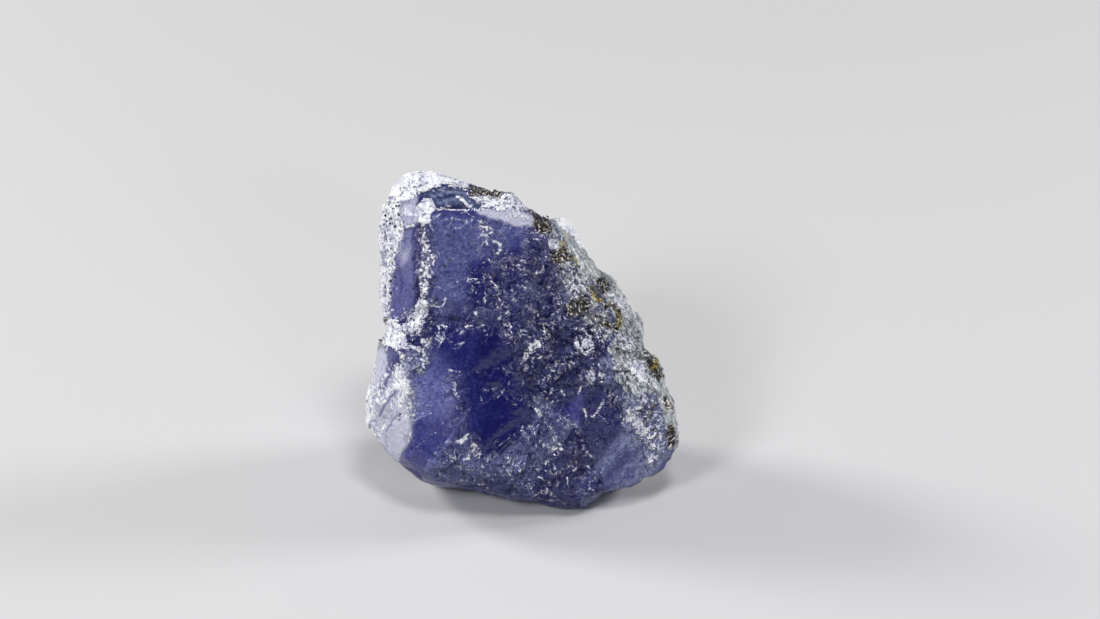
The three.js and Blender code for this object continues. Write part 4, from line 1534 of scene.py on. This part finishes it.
    def crystal(self) -> Value:
        """The bare crystal: its tint, lit and deep clouds that are partly painted light and shade of its
        facets, bright and darker flecks, and painted shadows beside small breaks.

        Returns:
            The colour.
        """
        net, finish, grainy = self.net, self.finish, self.grainy
        stored = {name.title(): net.stored(name) for name in CHANNELS}
        tint = net.add("ShaderNodeCombineColor", None, stored)
        deep = net.vector("MULTIPLY", tint, finish.deep_share)
        bright = net.vector("ADD", net.vector("MULTIPLY", tint, finish.bright_share), finish.bright_lift)
        # Random tone plus painted light and shade of the facets: towards the lit colour where high, towards
        # the deep one where low.
        tone_and_facet_shade = self.tone + self.facet_mottle_and_shade * (self.busy * 0.8 + 0.1) + (self.patchy - 0.5) * self.busy * 0.5
        colour = net.blend(tone_and_facet_shade.between(0.0, 1.2) * grainy * 0.8, tint, finish.lit)
        colour = net.blend((0.0 - tone_and_facet_shade).between(0.05, 0.8) * grainy, colour, deep)
        flecks = self.speckle.between(0.0, 0.5) | self.strand.between(0.10, 0.45)
        colour = net.blend(flecks * (grainy - 0.26), colour, bright)
        # Darker flecks at random.
        dark_flecks = (self.speckle + self.strand * 0.4).between(0.0, -0.6)
        colour = net.blend(dark_flecks * (grainy * 0.5 + 0.25), colour, deep)
        # Painted shadows: dark lines just beside the bright curled strokes, as if small breaks cast shade.
        shadows = abs(self.curl + 0.085).between(0.055, 0.030) * self.broken
        return net.blend(shadows * self.busy, colour, finish.painted_break_shadow)

    def bark(self) -> Value:
        """The grey rind, with fibres that run along the right rim, painted with shade in their creases and
        highlights on their ridges.

        Returns:
            The colour.
        """
        net, finish = self.net, self.finish
        turn = tuple(math.radians(angle) for angle in finish.fibre_turn_deg)
        along = net.add("ShaderNodeMapping", None, {"Vector": self.place, "Rotation": turn})
        fibres = (net.noise(net.vector("MULTIPLY", along, finish.fibre_draw), 1.0, 4.0, 0.5) - 0.5) * 3.0
        level = fibres * (self.busy * 0.5 + 0.55) + self.tone * (self.busy * 0.5 + 0.25)
        # Painted shade in the fibres' creases, then painted highlights on their ridges.
        colour = net.blend(level.between(-0.04, -0.42), finish.rind, finish.rind_shade)
        return net.blend(level.between(0.12, 0.50), colour, finish.painted_ridge_highlight)

    def snow(self) -> Value:
        """The frost, with painted shade and darker painted pits in its low places, painted lighter where the
        skin juts out.

        Returns:
            The colour.
        """
        net, finish = self.net, self.finish
        # Painted shade: grey-lavender where the level is low and dark pits where it is lowest; the level is
        # raised, so the frost is painted lighter, where the skin juts out.
        level = (self.mottle - 0.5) * 0.8 + self.tone * 0.6 + self.speckle * 0.4 + self.facet_mottle_and_shade * 0.3
        level = level + self.wear_and_edge_light * 0.2
        colour = net.blend(level.between(-0.34, -0.02), finish.shade, finish.frost)
        # The hoar colour here is lavender painted shade in broad dips, where the bump's relief is also low.
        colour = net.blend(self.mottle.between(0.50, 0.38) * 0.5, colour, finish.hoar)
        return net.blend(level.between(-0.46, -0.56), colour, finish.painted_pit_shade)

    def coal(self) -> Value:
        """The graphite, brown and grey in places, with painted flashes of highlight.

        Returns:
            The colour.
        """
        net, finish = self.net, self.finish
        colour = net.blend(self.tone.between(-0.1, 0.5), finish.soot, finish.soot_brown)
        greyer = (self.facet_mottle_and_shade + self.small_facet_mottle_and_shade).between(0.2, 0.6) * 0.7
        colour = net.blend(greyer, colour, finish.rind_shade)
        return net.blend(self.painted_flash, colour, finish.glitter)

    def gold(self) -> Value:
        """The iron stain, brown and sooty in places, with painted brassy highlights.

        Returns:
            The colour.
        """
        net, finish = self.net, self.finish
        colour = net.blend((0.0 - self.tone).between(-0.2, 0.3), finish.rust, finish.rust_brown)
        sooty = (self.speckle + self.facet_mottle_and_shade).between(0.15, 0.5) * 0.85
        colour = net.blend(sooty, colour, finish.soot)
        return net.blend(self.painted_flash * 0.7, colour, finish.painted_brass_glint)

    def normal(self, frost: Value, specks: Value) -> Value:
        """The small facets and the fine relief of the skin.

        Args:
            frost: Where the frost lies.
            specks: Where the specks lie.

        Returns:
            The bumped normal.
        """
        tilted = self.net.tilt(self.large, 0.03 + self.busy * 0.20)
        tilted = self.net.tilt(self.small, 0.02 + self.busy * 0.36, tilted)
        rough = self.busy | frost * 0.8
        relief = self.mottle * 0.06 + self.medium * (rough * 0.14 + 0.02)
        relief = relief + self.fine * (rough * 0.035 + 0.008) - specks * 0.03
        bump = {"Height": relief, "Distance": MM, "Strength": 1.0, "Normal": tilted}
        return self.net.add("ShaderNodeBump", None, bump)


# ---- the studio -----------------------------------------------------------------------------------


@dataclass(frozen=True)
class Softbox:
    """A square soft light that faces the stone."""

    name: str
    place: Triple
    side: float
    watts: float
    colour: Triple = (1.0, 1.0, 1.0)

    def hang(self, target: Vector) -> None:
        """Adds the light.

        Args:
            target: The point that it faces.
        """
        light = bpy.data.lights.new(self.name, "AREA")
        light.shape = "SQUARE"
        light.size = self.side
        light.energy = self.watts
        light.color = self.colour
        lamp = bpy.data.objects.new(self.name, light)
        lamp.location = self.place
        lamp.rotation_euler = (target - lamp.location).to_track_quat("-Z", "Y").to_euler()
        bpy.context.scene.collection.objects.link(lamp)


@dataclass
class Studio:
    """The plain floor, the soft lights and the camera."""

    floor_side: float = 3.0
    floor_colour: Triple = (0.56, 0.56, 0.57)
    floor_grain: float = 4.0
    floor_shade: float = 0.97
    floor_roughness: float = 0.85
    sky: Triple = (0.80, 0.84, 0.90)
    sky_strength: float = 0.09
    lens: float = 150.0
    sensor: float = 36.0
    nearest: float = 0.01
    distance: float = 0.3208
    elevation_deg: float = 30.0
    aim: Triple = (0.00204, 0.00182, 0.01215)
    lights: tuple[Softbox, ...] = (
        Softbox("key", (-0.26, 0.12, 0.17), 0.08, 0.74, (1.0, 0.98, 0.95)),
        Softbox("fill", (-0.17, -0.22, 0.21), 0.09, 0.54, (0.97, 0.98, 1.0)),
        Softbox("rim", (0.27, 0.08, 0.14), 0.08, 0.55),
        Softbox("top", (0.05, -0.10, 0.35), 0.09, 0.50),
        Softbox("front", (0.12, -0.27, 0.14), 0.06, 0.12),
    )

    def build(self) -> None:
        """Makes the floor, the world, the lights and the camera."""
        self.lay_floor()
        self.set_sky()
        for light in self.lights:
            light.hang(Vector(self.aim))
        self.set_camera()

    def lay_floor(self) -> None:
        """Lays a plain pale sheet under the stone."""
        bpy.ops.object.select_all(action="DESELECT")
        bpy.ops.mesh.primitive_plane_add(size=self.floor_side)
        floor = bpy.context.object
        floor.name = "floor"
        net = Net("pale_paper")
        grain = net.noise(net.millimetres(), self.floor_grain, 2.0)
        darker = tuple(self.floor_shade * part for part in self.floor_colour)
        colour = net.blend(grain, darker, self.floor_colour)
        matt = {"Base Color": colour, "Roughness": self.floor_roughness}
        floor.data.materials.append(net.finished(net.add("ShaderNodeBsdfPrincipled", None, matt)))

    def set_sky(self) -> None:
        """Fills the studio with even light."""
        world = bpy.data.worlds.new("studio")
        world.use_nodes = True
        background = world.node_tree.nodes["Background"]
        background.inputs["Color"].default_value = (*self.sky, 1.0)
        background.inputs["Strength"].default_value = self.sky_strength
        bpy.context.scene.world = world

    def set_camera(self) -> None:
        """Stands the camera in front of the stone, looking down at its broad face."""
        rise = math.radians(self.elevation_deg)
        lens = bpy.data.cameras.new("camera")
        lens.lens = self.lens
        lens.sensor_width = self.sensor
        lens.clip_start = self.nearest
        camera = bpy.data.objects.new("camera", lens)
        back = Vector((0.0, -math.cos(rise), math.sin(rise)))
        camera.location = Vector(self.aim) + back * self.distance
        camera.rotation_euler = (-back).to_track_quat("-Z", "Y").to_euler()
        bpy.context.scene.collection.objects.link(camera)
        bpy.context.scene.camera = camera
        bpy.context.scene.view_settings.view_transform = "Standard"


# ---- making it ------------------------------------------------------------------------------------


def main() -> None:
    """Builds the stone and its studio."""
    logging.basicConfig(level=logging.INFO, format="%(name)s: %(message)s")
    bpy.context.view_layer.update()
    stone = Stone().build()
    stone.data.materials.append(Dressing(Zoisite()).material())
    LOG.info("%s: %d faces", stone.name, len(stone.data.polygons))
    Studio().build()
    LOG.info("studio: floor, lights and camera")


if __name__ == "__main__":
    main()
